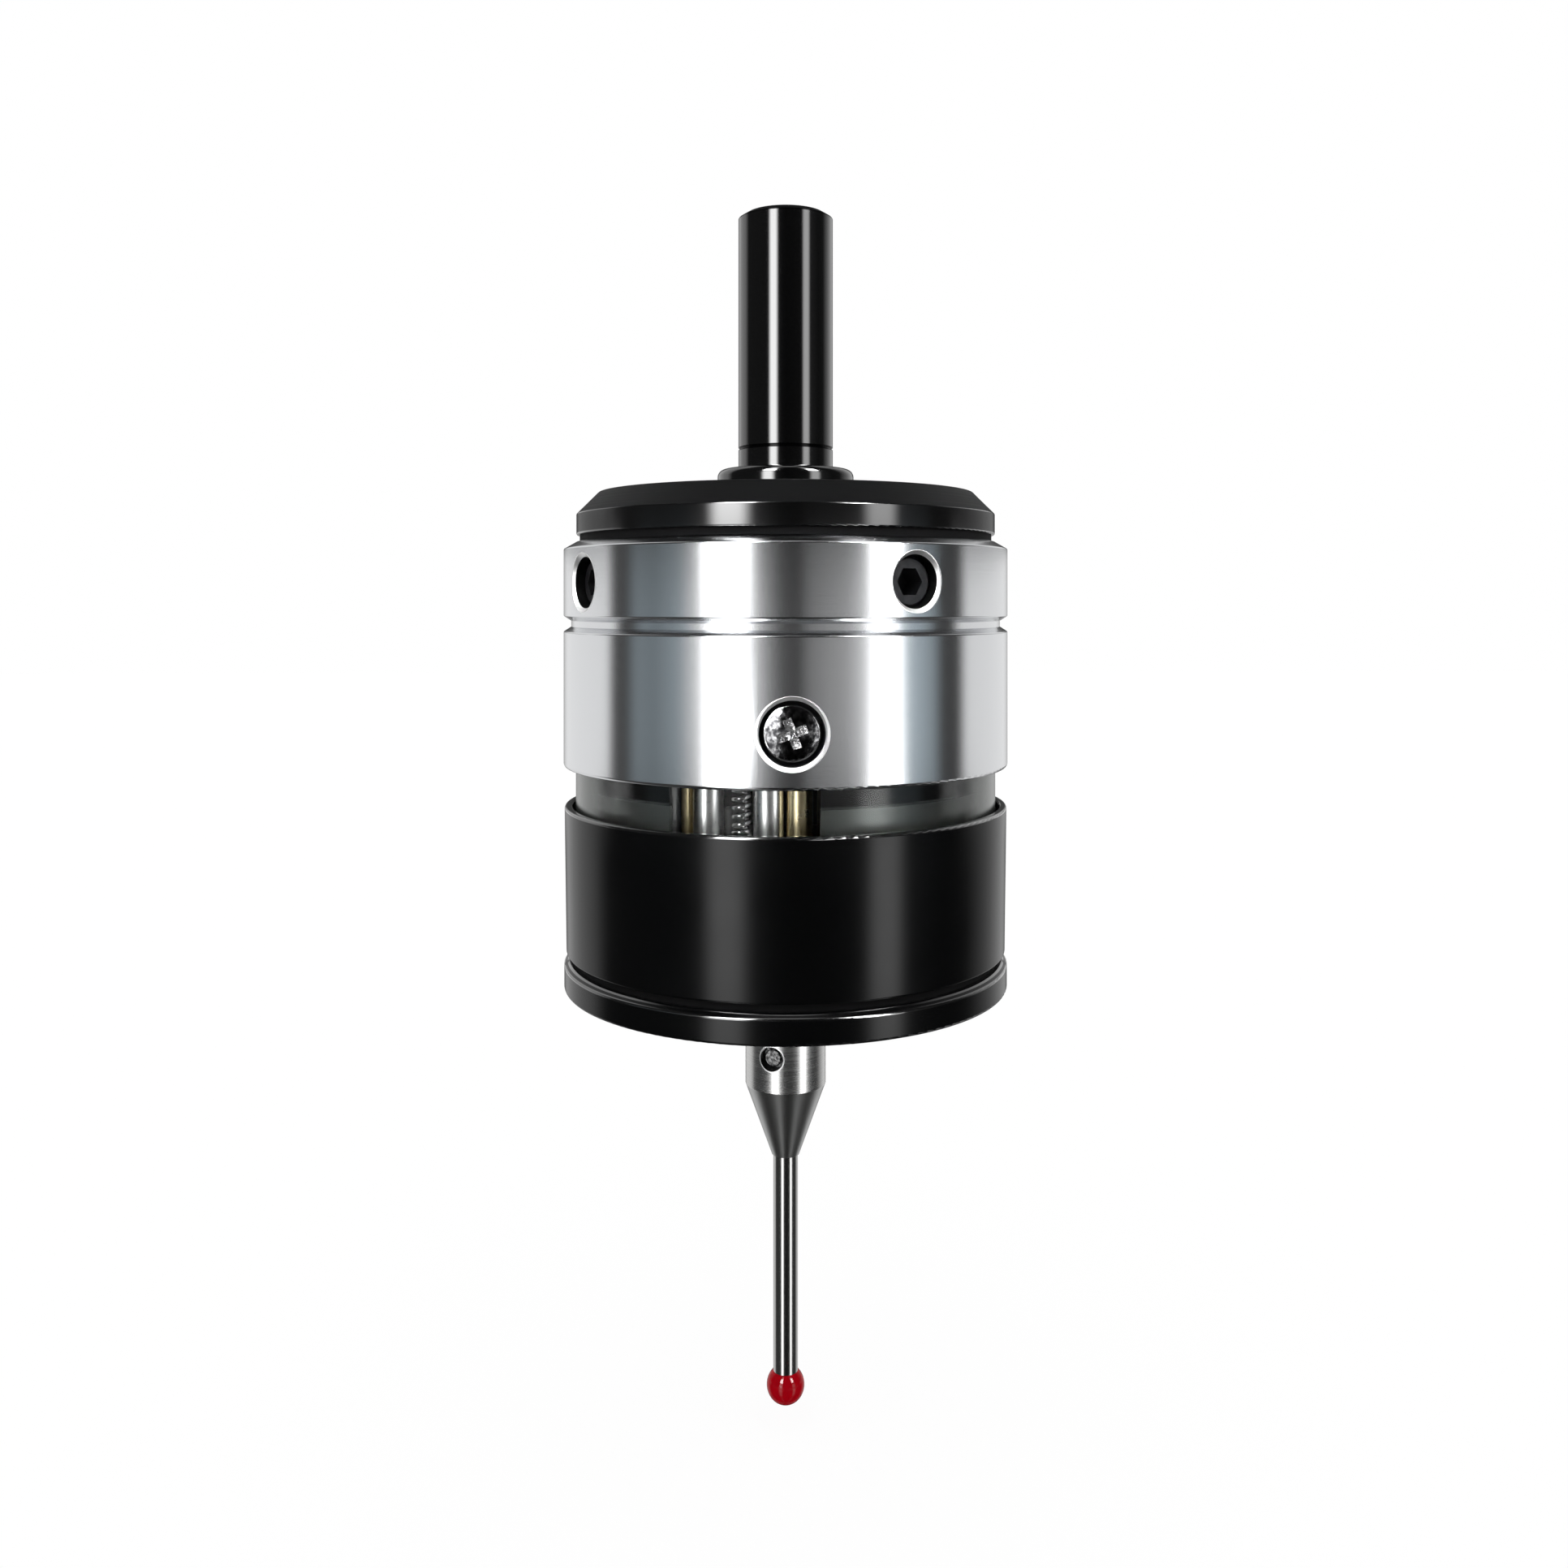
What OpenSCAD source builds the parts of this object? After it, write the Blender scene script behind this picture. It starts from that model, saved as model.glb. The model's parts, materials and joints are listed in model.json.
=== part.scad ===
// Spindle touch probe with an optical link.
// A black shank and head plate carry a bright body sleeve. A clear window ring over a dark filter drum
// joins it to the black lower sleeve, where a sprung ball-seat mechanism holds the ruby-tipped stylus.
// The origin lies on the axis at the gauge face, where the shank meets its collar. +Z runs up the shank
// and -Y is the front. Angles count from the front towards +X.

/* [Shank] */
// Diameter of the clamped shank
shank_d = 10; // [8:0.5:12]
// Length of the shank above the gauge face
shank_len = 27; // [20:0.5:40]
// Height of the chamfer at the end of the shank
shank_tip_h = 0.5; // [0.2:0.1:1]
// Width of the chamfer at the end of the shank
shank_tip_w = 0.8; // [0.3:0.1:1.5]
// Height of the witness groove above the gauge face
witness_z = 2.2; // [1:0.1:4]
// Width of the witness groove
witness_w = 0.25; // [0.2:0.05:0.6]
// Depth of the witness groove
witness_depth = 0.2; // [0.1:0.05:0.5]
// Diameter of the collar under the gauge face
collar_d = 14.4; // [13.6:0.2:18]
// Height of the collar
collar_h = 2.6; // [1.8:0.1:4]
// Rounding of the upper edge of the collar
collar_round = 0.8; // [0.2:0.1:0.8]
// Diameter of the threaded foot below the collar
foot_d = 8; // [6:0.5:8]
// Width across the flats of the foot's nut
nut_flats = 13; // [11:0.5:14]
// Height of the foot's nut
nut_h = 3.8; // [3:0.1:4]
// Bevel around the nut's lower corners
nut_bevel = 0.6; // [0.3:0.1:0.8]
// Diameter of the washer under the nut
washer_d = 17; // [16.5:0.5:20]
// Thickness of the washer under the nut
washer_h = 0.8; // [0.4:0.1:1]

/* [Head plate] */
// How far the plate's rim lies inside the body's outline
plate_inset = 1.3; // [0.5:0.1:3]
// Height of the plate from its top face to the gasket
plate_h = 4.45; // [4:0.05:7]
// Height and width of the chamfer around the plate's top
plate_chamfer = 2.27; // [1:0.05:2.6]
// Thickness of the plate's web around the foot
plate_web = 6.2; // [5.5:0.1:6.2]
// Depth of the spigot below the plate
spigot_h = 6.85; // [6.8:0.05:7.2]
// Thickness of the gasket under the plate
gasket_h = 0.7; // [0.4:0.1:1.2]
// How far the gasket lies inside the plate's rim
gasket_inset = 0.35; // [0.1:0.05:1]

/* [Body sleeve] */
// Diameter of the body sleeve
body_d = 46.5; // [45:0.5:56]
// Height of the body sleeve
body_h = 23.15; // [22.8:0.05:27]
// Wall of the sleeve around the battery bay
body_wall = 3.25; // [2.8:0.05:3.6]
// Width of the slope around the sleeve's top
body_slope_w = 1.3; // [0.6:0.1:1.6]
// Height of the slope around the sleeve's top
body_slope_h = 0.75; // [0.4:0.05:1.2]
// Rounding of the sleeve's lower edge
body_round = 0.35; // [0.1:0.05:0.5]
// Wall of the thick ring at the top of the sleeve, around the plate's spigot
head_wall = 6.25; // [5.5:0.05:6.8]
// Height of the thick ring at the top of the sleeve
head_ring_h = 6.75; // [6.5:0.05:7.5]
// Distance from the sleeve's top down to the middle of the trim groove
trim_drop = 8.45; // [7.9:0.05:10]
// Width of the trim groove at the surface
trim_w = 1.6; // [0.8:0.1:2]
// Width of the trim groove at its floor
trim_floor = 0.6; // [0.2:0.1:0.7]
// Depth of the trim groove
trim_depth = 0.78; // [0.3:0.02:1.2]
// Depth of the pocket that takes the window ring
window_pocket = 2.3; // [1.8:0.1:2.8]

/* [Screws of the body] */
// Number of centring screws around the head ring
centring_count = 4; // [3:1:4]
// Angle of the first centring screw
centring_angle = 30; // [20:1:40]
// Thread diameter of a centring screw
centring_d = 5; // [3:0.5:5]
// Length of a centring screw
centring_len = 6; // [5:0.25:6.5]
// Width across the flats of a centring screw's socket
centring_socket = 2.5; // [1.5:0.1:2.5]
// Depth of a centring screw's socket
centring_socket_depth = 2.5; // [1.5:0.1:3]
// Distance from the sleeve's top down to the centring screws
centring_drop = 4.3; // [4:0.05:4.5]
// Number of sleeve screws
sleeve_screw_count = 3; // [2:1:3]
// Height of the sleeve screws above the sleeve's lower edge
sleeve_screw_rise = 5.1; // [4.6:0.1:6]
// Thread diameter of a sleeve screw
sleeve_screw_d = 2.5; // [2:0.1:2.5]
// Length of a sleeve screw under its head
sleeve_screw_len = 5; // [4:0.1:5.2]
// Diameter of a sleeve screw's head
sleeve_head_d = 5.2; // [4.6:0.1:5.4]
// Height of a sleeve screw's head
sleeve_head_h = 1.55; // [1.2:0.05:1.7]
// Depth of the counterbore for a sleeve screw's head
counterbore_depth = 2; // [1.8:0.05:2.2]
// Radial gap around a sleeve screw's head
counterbore_gap = 0.4; // [0.2:0.05:0.6]
// Width of the bevel around each radial hole
hole_bevel = 0.4; // [0.2:0.05:0.6]

/* [Battery] */
// Diameter of a cell
cell_d = 14.5; // [13:0.1:14.5]
// Diameter of the pole at a cell's end
pole_d = 5.8; // [4:0.1:6.5]
// Height of the pole at a cell's end
pole_h = 1.2; // [0.6:0.1:1.6]
// Bevel at the ends of a cell
cell_bevel = 0.5; // [0.2:0.1:0.8]
// Wall between the two cells
cell_wall = 0.7; // [0.4:0.1:0.9]
// Thinnest wall of the tray, at the corners of its pockets
tray_skin = 0.08; // [0.05:0.01:0.5]
// Thickness of the tray's floor under the cells
tray_floor = 0.8; // [0.6:0.05:0.8]
// Thickness of a contact plate at a cell's end
contact_t = 0.5; // [0.3:0.1:0.6]
// Width and height of a contact plate
contact_w = 7; // [5:0.5:8]

/* [Window] */
// How far the window lies inside the body's outline
window_inset = 1.25; // [1:0.05:1.6]
// Wall of the window ring
window_wall = 1.5; // [1:0.1:1.5]
// Height of the window that stays in view
window_show = 4.1; // [3:0.1:6]
// Thickness of the seal above the window
seal_up_h = 0.8; // [0.5:0.1:1]
// Thickness of the seal below the window
seal_low_h = 0.7; // [0.5:0.1:1]
// Wall of the filter drum behind the window
drum_wall = 1.8; // [1:0.1:1.8]
// Angle at the middle of the drum's cut-out
cutout_angle = -12.9; // [-20:0.1:0]
// Width of the drum's cut-out, straight across at the drum's outside
cutout_w = 14.2; // [10:0.1:17]
// Height of the drum's rim above the cut-out
cutout_rim_up = 0.6; // [0.4:0.1:1]
// Height of the drum's rim below the cut-out
cutout_rim_low = 0.7; // [0.4:0.1:1]

/* [Board and pillars] */
// Thickness of the circuit board
board_t = 0.8; // [0.6:0.1:1.2]
// Number of pillar groups around the board
group_count = 3; // [2:1:3]
// Angle of the first pillar group
group_angle = -17.3; // [-25:0.1:-10]
// Distance from the drum's inside to the circle on which the pillars stand
pillar_inset = 1.94; // [1.8:0.02:2.4]
// Diameter of a steel pillar
steel_d = 2.9; // [2:0.1:2.9]
// Distance between the two steel pillars of a group
steel_pitch = 5.94; // [5.2:0.02:6]
// Diameter of a brass standoff
brass_d = 2.5; // [1.8:0.1:2.5]
// Distance from a steel pillar to the brass standoff beside it
brass_pitch = 2.9; // [2.76:0.02:3.4]
// Distance from a group's middle to its contact spring
spring_shift = 0.4; // [0:0.1:0.4]
// Outer diameter of a contact spring
contact_coil_d = 1.9; // [1.4:0.1:2]
// Wire of a contact spring
contact_wire_d = 0.4; // [0.3:0.05:0.5]
// Turns of a contact spring
contact_turns = 8; // [6:1:9]
// Distance from a receiver to the emitter on each side of it
emitter_pitch = 5.3; // [4.5:0.1:5.6]
// Width of an emitter or receiver
diode_w = 3.4; // [2.5:0.1:3.6]
// Height of an emitter or receiver
diode_h = 3.6; // [3.4:0.1:5]
// Diameter of an emitter's lens
diode_lens_d = 2.4; // [1.6:0.1:2.6]
// Diameter of a receiver's lens
receiver_lens_d = 3; // [2:0.1:3.2]
// Distance from the pillars' circle in to the row of small parts
chip_inset = 4; // [3.2:0.1:4.6]
// Width of a small part on the board
chip_w = 1.8; // [1:0.1:2]
// Height of the lowest small part on the board
chip_h = 0.7; // [0.4:0.1:1.2]
// Diameter of the status lamp
lamp_d = 0.9; // [0.6:0.1:1]
// Height of the status lamp's straight part
lamp_h = 2.2; // [1:0.1:3]
// Distance from the first group's middle to the status lamp
lamp_shift = 1.3; // [1:0.1:1.5]
// Distance from the pillars' circle in to the status lamp
lamp_inset = 1.4; // [1.2:0.1:1.6]

/* [Lower sleeve] */
// How far the lower sleeve's top lies inside the body's outline
lower_inset = 0.1; // [0:0.05:0.6]
// How much narrower in radius the sleeve is at its lower end
lower_taper = 0.2; // [0:0.05:0.5]
// Height of the lower sleeve
lower_h = 15.1; // [14.8:0.1:16]
// Thickness of the rim around the window
rim_wall = 0.8; // [0.5:0.05:1]
// Depth from the rim down to the bulkhead
rim_h = 1.95; // [1.2:0.05:2.2]
// Rounding of the rim's outer edge
rim_round = 0.3; // [0.1:0.05:0.3]
// Diameter of the cavity below the bulkhead
cavity_d = 24; // [20:0.5:26]
// Wall of the spring tower around the plug
tower_wall = 1.4; // [1:0.1:1.6]

/* [Bottom cover] */
// How far the cover lies inside the body's outline
cover_inset = 0.07; // [0:0.01:0.5]
// Height of the cover
cover_h = 2.96; // [2.9:0.02:4]
// Height of the slope around the cover's top
cover_slope_h = 0.48; // [0.2:0.02:0.8]
// Width of the slope around the cover's top
cover_slope_w = 0.55; // [0.2:0.05:0.9]
// Rounding of the cover's lower edge
cover_round = 0.3; // [0.1:0.05:0.6]
// Thickness of the seal above the cover
cover_seal_h = 0.78; // [0.5:0.02:1.2]
// How far the seal lies inside the cover's outline
cover_seal_inset = 1; // [0.6:0.05:1.4]
// Depth of the pocket that centres the seat ring in the cover
cover_pocket = 0.4; // [0.2:0.05:0.5]
// Bevel around the cover's opening
mouth_bevel = 1.05; // [0.9:0.05:1.2]
// Thickness of the wiper lip in the cover's opening
wiper_h = 1; // [0.6:0.1:1.2]
// Width of the wiper lip's clamped rim
wiper_w = 2.6; // [2:0.1:3]
// Number of cover screws
cover_screw_count = 3; // [3:1:6]
// Angle of the first cover screw
cover_screw_angle = 60; // [0:5:120]
// Thread diameter of a cover screw
cover_screw_d = 2.5; // [2:0.1:2.5]
// Length of a cover screw
cover_screw_len = 6.6; // [6:0.1:7]
// Diameter of a cover screw's head
cover_head_d = 4.6; // [4:0.1:4.8]

/* [Mechanism] */
// Height of the tilt centre above the cover's lower face
pivot_rise = 9.4; // [9.2:0.05:9.5]
// Tilt of the stylus to each side about either axis
tilt_max = 9; // [4:0.5:9]
// Lift of the stylus
lift_max = 3.5; // [1:0.1:3.5]
// Diameter of the carrier's spherical bearing
bearing_d = 14.4; // [14:0.1:14.4]
// Diameter of the carrier's rim
carrier_d = 13.8; // [13.6:0.1:13.8]
// Distance of the carrier's top face below the tilt centre
carrier_drop = 0.6; // [0.4:0.05:0.8]
// Diameter of the carrier's neck
neck_d = 5.6; // [5.2:0.1:5.6]
// Slope of the conical seat
seat_angle = 52; // [50:0.5:54]
// Width of the seat below the line of contact
seat_land = 0.3; // [0.2:0.05:0.35]
// Height of the seat ring's face below the tilt centre
seat_drop = 2.2; // [2:0.05:2.4]
// Outer diameter of the seat ring
seat_d = 30; // [26.5:0.5:31]
// Diameter of the thrust ball
thrust_d = 4; // [3.6:0.1:4.2]
// Outer diameter of the spring cup
cup_d = 14.4; // [14.2:0.1:15]
// Wall of the spring cup
cup_wall = 0.9; // [0.6:0.1:1.1]
// Thickness of the spring cup's floor
cup_floor = 1.2; // [1.1:0.1:1.5]
// Height of the spring cup
cup_h = 5.9; // [5.5:0.1:6.6]
// Wire of the main spring
main_wire_d = 0.7; // [0.5:0.05:0.8]
// Turns of the main spring
main_turns = 6; // [5:0.5:6]
// Radial gap between the main spring and its cup
main_gap = 0.25; // [0.2:0.05:0.6]
// Width of the ledge on which the spring plug stops
plug_ledge = 0.6; // [0.3:0.1:1]
// Width of the slot across the spring plug
plug_slot_w = 1.6; // [1:0.1:2]
// Depth of the slot across the spring plug
plug_slot_depth = 1; // [0.5:0.1:1.2]

/* [Stylus] */
// Distance from the cover's lower face to the top of the stylus base
neck_show = 4.5; // [4.5:0.1:6]
// Length of the stylus from its seating face to the middle of the ball
stylus_len = 38.55; // [30:0.05:60]
// Diameter of the stylus base
base_d = 8.5; // [7:0.1:8.5]
// Length of the straight part of the stylus base
base_len = 6.4; // [6:0.1:9]
// Bevel around the base's seating face
base_bevel = 0.5; // [0.3:0.05:0.8]
// Length of the cone below the base
cone_len = 7.65; // [5:0.05:9]
// Diameter of the cone's lower end
cone_tip_d = 2.9; // [2.8:0.1:3.4]
// Thread diameter of the stud above the base
stud_d = 4; // [3:0.1:4]
// Length of the stud above the base
stud_len = 6; // [4:0.5:6]
// Bevel at the end of the stud
stud_bevel = 0.3; // [0.1:0.05:0.6]
// Diameter of the stem
stem_d = 2.6; // [1.5:0.1:2.6]
// Depth of the stem inside the straight part of the base
stem_depth = 5; // [4.7:0.1:5.6]
// Diameter of the ruby ball
ball_d = 4; // [3:0.1:6]
// Diameter of the pin that holds the ball
ball_pin_d = 1.1; // [0.6:0.1:1.2]
// Distance from the base's seating face to its lock screw
lock_drop = 2.85; // [2.6:0.05:3.2]
// Angle of the lock screw
lock_angle = -22; // [-45:1:45]
// Diameter of the lock screw
lock_d = 2.5; // [1.6:0.1:2.5]
// Width across the flats of the lock screw's socket
lock_socket = 1.3; // [0.7:0.1:1.3]
// Depth of the lock screw below the base's surface
lock_recess = 0.5; // [0.2:0.05:0.8]

/* [Edges and clearances] */
// Easing of the turned edges in view
edge_ease = 0.2; // [0.05:0.05:0.25]
// Radial clearance of a thread
thread_gap = 0.03; // [0.02:0.01:0.1]
// Depth of a blind hole past the end of its screw or stud
drill_room = 0.5; // [0.3:0.1:1]
// Radial clearance of a part that drops into a bore
drop_gap = 0.08; // [0.05:0.01:0.15]
// Gap between faces that are stacked loosely
stack_gap = 0.05; // [0.02:0.01:0.1]
// Running gap of the sliding and rolling surfaces
run_gap = 0.06; // [0.04:0.01:0.1]
// Room left beside a moving part at the end of its travel
swing_gap = 0.3; // [0.2:0.05:0.4]
// Radial room for centring the plate in the body
centring_room = 1; // [0.5:0.1:1.5]
// Gap between a receiver's lens and the drum
diode_gap = 0.3; // [0.2:0.05:0.6]

/* [Hidden] */
$fn = 96;
eps = 0.01;

// Radii from the axis
body_r = body_d / 2;
plate_r = body_r - plate_inset;
head_bore_r = body_r - head_wall;
spigot_r = head_bore_r - centring_room;
bay_r = body_r - body_wall;
tray_r = bay_r - drop_gap;
window_r = body_r - window_inset;
window_bore_r = window_r - window_wall;
drum_r = window_bore_r - 2 * drop_gap;
drum_bore_r = drum_r - drum_wall;
lower_r = body_r - lower_inset;
lower_end_r = lower_r - lower_taper;
rim_bore_r = lower_r - rim_wall;
cover_r = body_r - cover_inset;
cover_seal_r = cover_r - cover_seal_inset;
cavity_r = cavity_d / 2;
seat_r = seat_d / 2;
seat_pocket_r = seat_r + drop_gap;
cup_r = cup_d / 2;
cup_bore_r = cup_r - cup_wall;
guide_r = cup_r + run_gap;
plug_r = guide_r + plug_ledge;
tower_r = plug_r + tower_wall;
board_r = drum_bore_r - 2 * drop_gap;
pillar_circle = drum_bore_r - pillar_inset;
chip_circle = pillar_circle - chip_inset;
lamp_circle = pillar_circle - lamp_inset;
diode_depth = 0.6 * diode_w;
diode_circle = drum_bore_r - diode_gap - receiver_lens_d / 2 - diode_depth / 2;
cover_screw_circle = (seat_pocket_r + lower_end_r) / 2;

// Angles on those circles
cutout_half = asin(cutout_w / 2 / drum_r);
steel_step = asin(steel_pitch / 2 / pillar_circle);
brass_step = steel_step + 2 * asin(brass_pitch / 2 / pillar_circle);
spring_step = asin(spring_shift / pillar_circle);
emitter_step = 2 * asin(emitter_pitch / 2 / diode_circle);
lamp_step = asin(lamp_shift / lamp_circle);

// The cells fill the bay up to the tray's skin
pocket_d = cell_d + 2 * stack_gap;
cell_shift = (cell_d + cell_wall) / 2;
pocket_len = 2 * sqrt(pow(tray_r - tray_skin, 2) - pow(cell_shift + pocket_d / 2, 2));
cell_len = pocket_len - 2 * (contact_t + 2 * stack_gap);
tray_h = tray_floor + stack_gap + cell_d;

// Heights, from the gauge face down
z_plate_top = -collar_h;
z_plate_low = z_plate_top - plate_h;
z_web_low = z_plate_top - plate_web;
z_spigot_low = z_plate_low - spigot_h;
z_nut_low = z_web_low - washer_h - nut_h;
z_body_top = z_plate_low - gasket_h;
z_body_low = z_body_top - body_h;
z_trim = z_body_top - trim_drop;
z_centring = z_body_top - centring_drop;
z_sleeve_screw = z_body_low + sleeve_screw_rise;
z_bay_top = z_body_top - head_ring_h;
z_tray_top = z_bay_top - stack_gap;
z_tray_low = z_tray_top - tray_h;
z_cell = z_tray_low + tray_floor + cell_d / 2 + stack_gap;
z_pocket = z_body_low + window_pocket;
z_drum_top = min(z_tray_low, z_pocket) - stack_gap;
z_window_top = z_pocket - seal_up_h;
z_rim = z_body_low - window_show;
z_bulkhead = z_rim - rim_h;
z_window_low = z_bulkhead + seal_low_h;
z_board = z_bulkhead + board_t;
z_lower_low = z_rim - lower_h;
z_cover_top = z_lower_low - cover_seal_h;
z_cover_low = z_cover_top - cover_h;
z_seat_low = z_cover_top - cover_pocket;
z_pivot = z_cover_low + pivot_rise;
z_seat_top = z_pivot - seat_drop;
z_stylus = z_cover_low - neck_show;
z_base_low = z_stylus - base_len;
z_cone_low = z_base_low - cone_len;
z_ball = z_stylus - stylus_len;
z_lock = z_stylus - lock_drop;

// Room for the moving parts, where both tilts and the lift are at their ends together
tilt_corner = acos(cos(tilt_max) * cos(tilt_max));
carrier_rise = carrier_d / 2 * sin(tilt_corner) - carrier_drop * cos(tilt_corner);
function neck_swing(z) =
    (z_pivot + lift_max - z) * tan(tilt_corner) + neck_d / 2 / cos(tilt_corner) + swing_gap;
z_cup_low = z_pivot + carrier_rise + swing_gap;
z_cup_floor = z_cup_low + cup_floor;
z_cup_top = z_cup_low + cup_h;
z_ceiling = z_pivot + lift_max + carrier_rise + swing_gap;
z_plug_low = z_cup_top + lift_max + swing_gap;
z_tower = z_tray_low - 2 * stack_gap;

// The conical seat touches the spherical bearing along one circle
bearing_r = bearing_d / 2;
contact_r = (bearing_r + run_gap) * sin(seat_angle);
z_contact = z_pivot - (bearing_r + run_gap) * cos(seat_angle);
seat_in_r = contact_r - seat_land;
z_seat_in = z_contact - seat_land * tan(seat_angle);
seat_out_r = contact_r + (z_seat_top - z_contact) / tan(seat_angle);
wiper_in_r = neck_swing(z_seat_low - wiper_h);
mouth_r = neck_swing(z_cover_low);
wiper_r = wiper_in_r + wiper_w;

// Cutter that rounds one corner of an outline with an arc that touches both of its sides
module corner_cut(before, corner, after, radius) {
    to_before = (before - corner) / norm(before - corner);
    to_after = (after - corner) / norm(after - corner);
    half = acos(to_before * to_after) / 2;
    middle = (to_before + to_after) / norm(to_before + to_after);
    reach = radius / tan(half);
    difference() {
        polygon([corner + to_before * reach, corner - middle * eps, corner + to_after * reach]);
        translate(corner + middle * radius / sin(half))
            circle(radius);
    }
}

// Solid of revolution from an outline of [radius, height] points. rounded lists [corner, radius] pairs
module turned(outline, rounded = []) {
    count = len(outline);
    rotate_extrude()
        difference() {
            polygon(outline);
            for (pair = rounded)
                corner_cut(
                    outline[(pair[0] + count - 1) % count], outline[pair[0]],
                    outline[(pair[0] + 1) % count], pair[1]
                );
        }
}

// Flat washer or tube between two heights
module tube(r_out, r_in, z_low, z_high) {
    rotate_extrude()
        translate([r_in, z_low])
            square([r_out - r_in, z_high - z_low]);
}

// Places a shape that grows along +Z so that it grows outwards from the axis at an angle and a height
module radial(angle, z) {
    rotate([0, 0, angle])
        translate([0, 0, z])
            rotate([90, 0, 0])
                children();
}

// Places a shape on a circle, with -Y of the shape pointing outwards
module on_circle(angle, radius, z) {
    rotate([0, 0, angle])
        translate([0, -radius, z])
            children();
}

// Hexagonal prism by its width across the flats
module hexagon(flats, height) {
    cylinder(d = flats / cos(30), h = height, $fn = 6);
}

// Cutter for a cross recess that opens upwards at the origin
module cross_recess(width, length, depth) {
    translate([-length / 2, -width / 2, -depth])
        cube([length, width, depth + 1]);
    translate([-width / 2, -length / 2, -depth])
        cube([width, length, depth + 1]);
}

// Cutter for a hole from the inside to the skin of the body, with a bevelled mouth
module bevelled_hole(diameter, start) {
    translate([0, 0, start])
        cylinder(d = diameter, h = body_r - start + 1);
    translate([0, 0, body_r - hole_bevel])
        cylinder(d1 = diameter, d2 = diameter + 4 * hole_bevel, h = 2 * hole_bevel);
}

// Rise of a compression spring after some turns. The first and the last turn lie closed
function coil_rise(turn, turns, span, pitch) =
    turn < 1 ? pitch * turn :
    turn > turns - 1 ? span - pitch * (turns - turn) :
    pitch + (span - 2 * pitch) * (turn - 1) / (turns - 2);

// Coil spring of round wire between two heights, around the Z axis
module coil(wire_d, mean_r, z_low, z_high, turns, steps, sides) {
    count = ceil(turns * steps);
    span = z_high - z_low - wire_d;
    rings = [
        for (i = [0:count])
            let (turn = turns * i / count)
            let (rise = z_low + wire_d / 2 + coil_rise(turn, turns, span, 1.1 * wire_d))
            for (j = [0:sides - 1])
                let (r = mean_r + wire_d / 2 * cos(360 * j / sides))
                [r * cos(360 * turn), r * sin(360 * turn), rise + wire_d / 2 * sin(360 * j / sides)]
    ];
    skin = [
        for (i = [0:count - 1])
            for (j = [0:sides - 1])
                let (a = i * sides + j)
                let (b = i * sides + (j + 1) % sides)
                each [[a, b, a + sides], [b, b + sides, a + sides]]
    ];
    start_cap = [for (j = [sides - 1:-1:0]) j];
    end_cap = [for (j = [0:sides - 1]) count * sides + j];
    polyhedron(points = rings, faces = concat(skin, [start_cap, end_cap]));
}

module shank() {
    foot_r = foot_d / 2;
    end_r = shank_d / 2;
    groove_r = end_r - witness_depth;
    z_groove_low = witness_z - witness_w / 2;
    z_groove_high = witness_z + witness_w / 2;
    color("#16181b")
        turned([
            [0, z_nut_low], [foot_r, z_nut_low], [foot_r, z_plate_top], [collar_d / 2, z_plate_top],
            [collar_d / 2, 0], [end_r, 0], [end_r, z_groove_low], [groove_r, z_groove_low],
            [groove_r, z_groove_high], [end_r, z_groove_high], [end_r, shank_len - shank_tip_h],
            [end_r - shank_tip_w, shank_len], [0, shank_len]
        ], [[4, collar_round]]);
}

module shank_washer() {
    color("#b9bcc0")
        tube(washer_d / 2, foot_d / 2 + drop_gap, z_web_low - washer_h, z_web_low);
}

module shank_nut() {
    color("#2c2e32")
        translate([0, 0, z_nut_low])
            difference() {
                intersection() {
                    hexagon(nut_flats, nut_h);
                    cylinder(r1 = nut_flats / 2 / cos(30) - nut_bevel, r2 = nut_flats / 2 + nut_h, h = nut_h);
                }
                translate([0, 0, -1])
                    cylinder(r = foot_d / 2 + thread_gap, h = nut_h + 2);
            }
}

module top_plate() {
    nut_bore_r = washer_d / 2 + 4 * drop_gap;
    color("#1b1d20")
        turned([
            [foot_d / 2 + drop_gap, z_plate_top], [plate_r - plate_chamfer, z_plate_top],
            [plate_r, z_plate_top - plate_chamfer], [plate_r, z_plate_low], [spigot_r, z_plate_low],
            [spigot_r, z_spigot_low], [nut_bore_r, z_spigot_low], [nut_bore_r, z_web_low],
            [foot_d / 2 + drop_gap, z_web_low]
        ], [[1, edge_ease], [2, edge_ease], [3, edge_ease]]);
}

module top_gasket() {
    color("#0c0c0d")
        tube(plate_r - gasket_inset, head_bore_r, z_body_top, z_plate_low);
}

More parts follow.
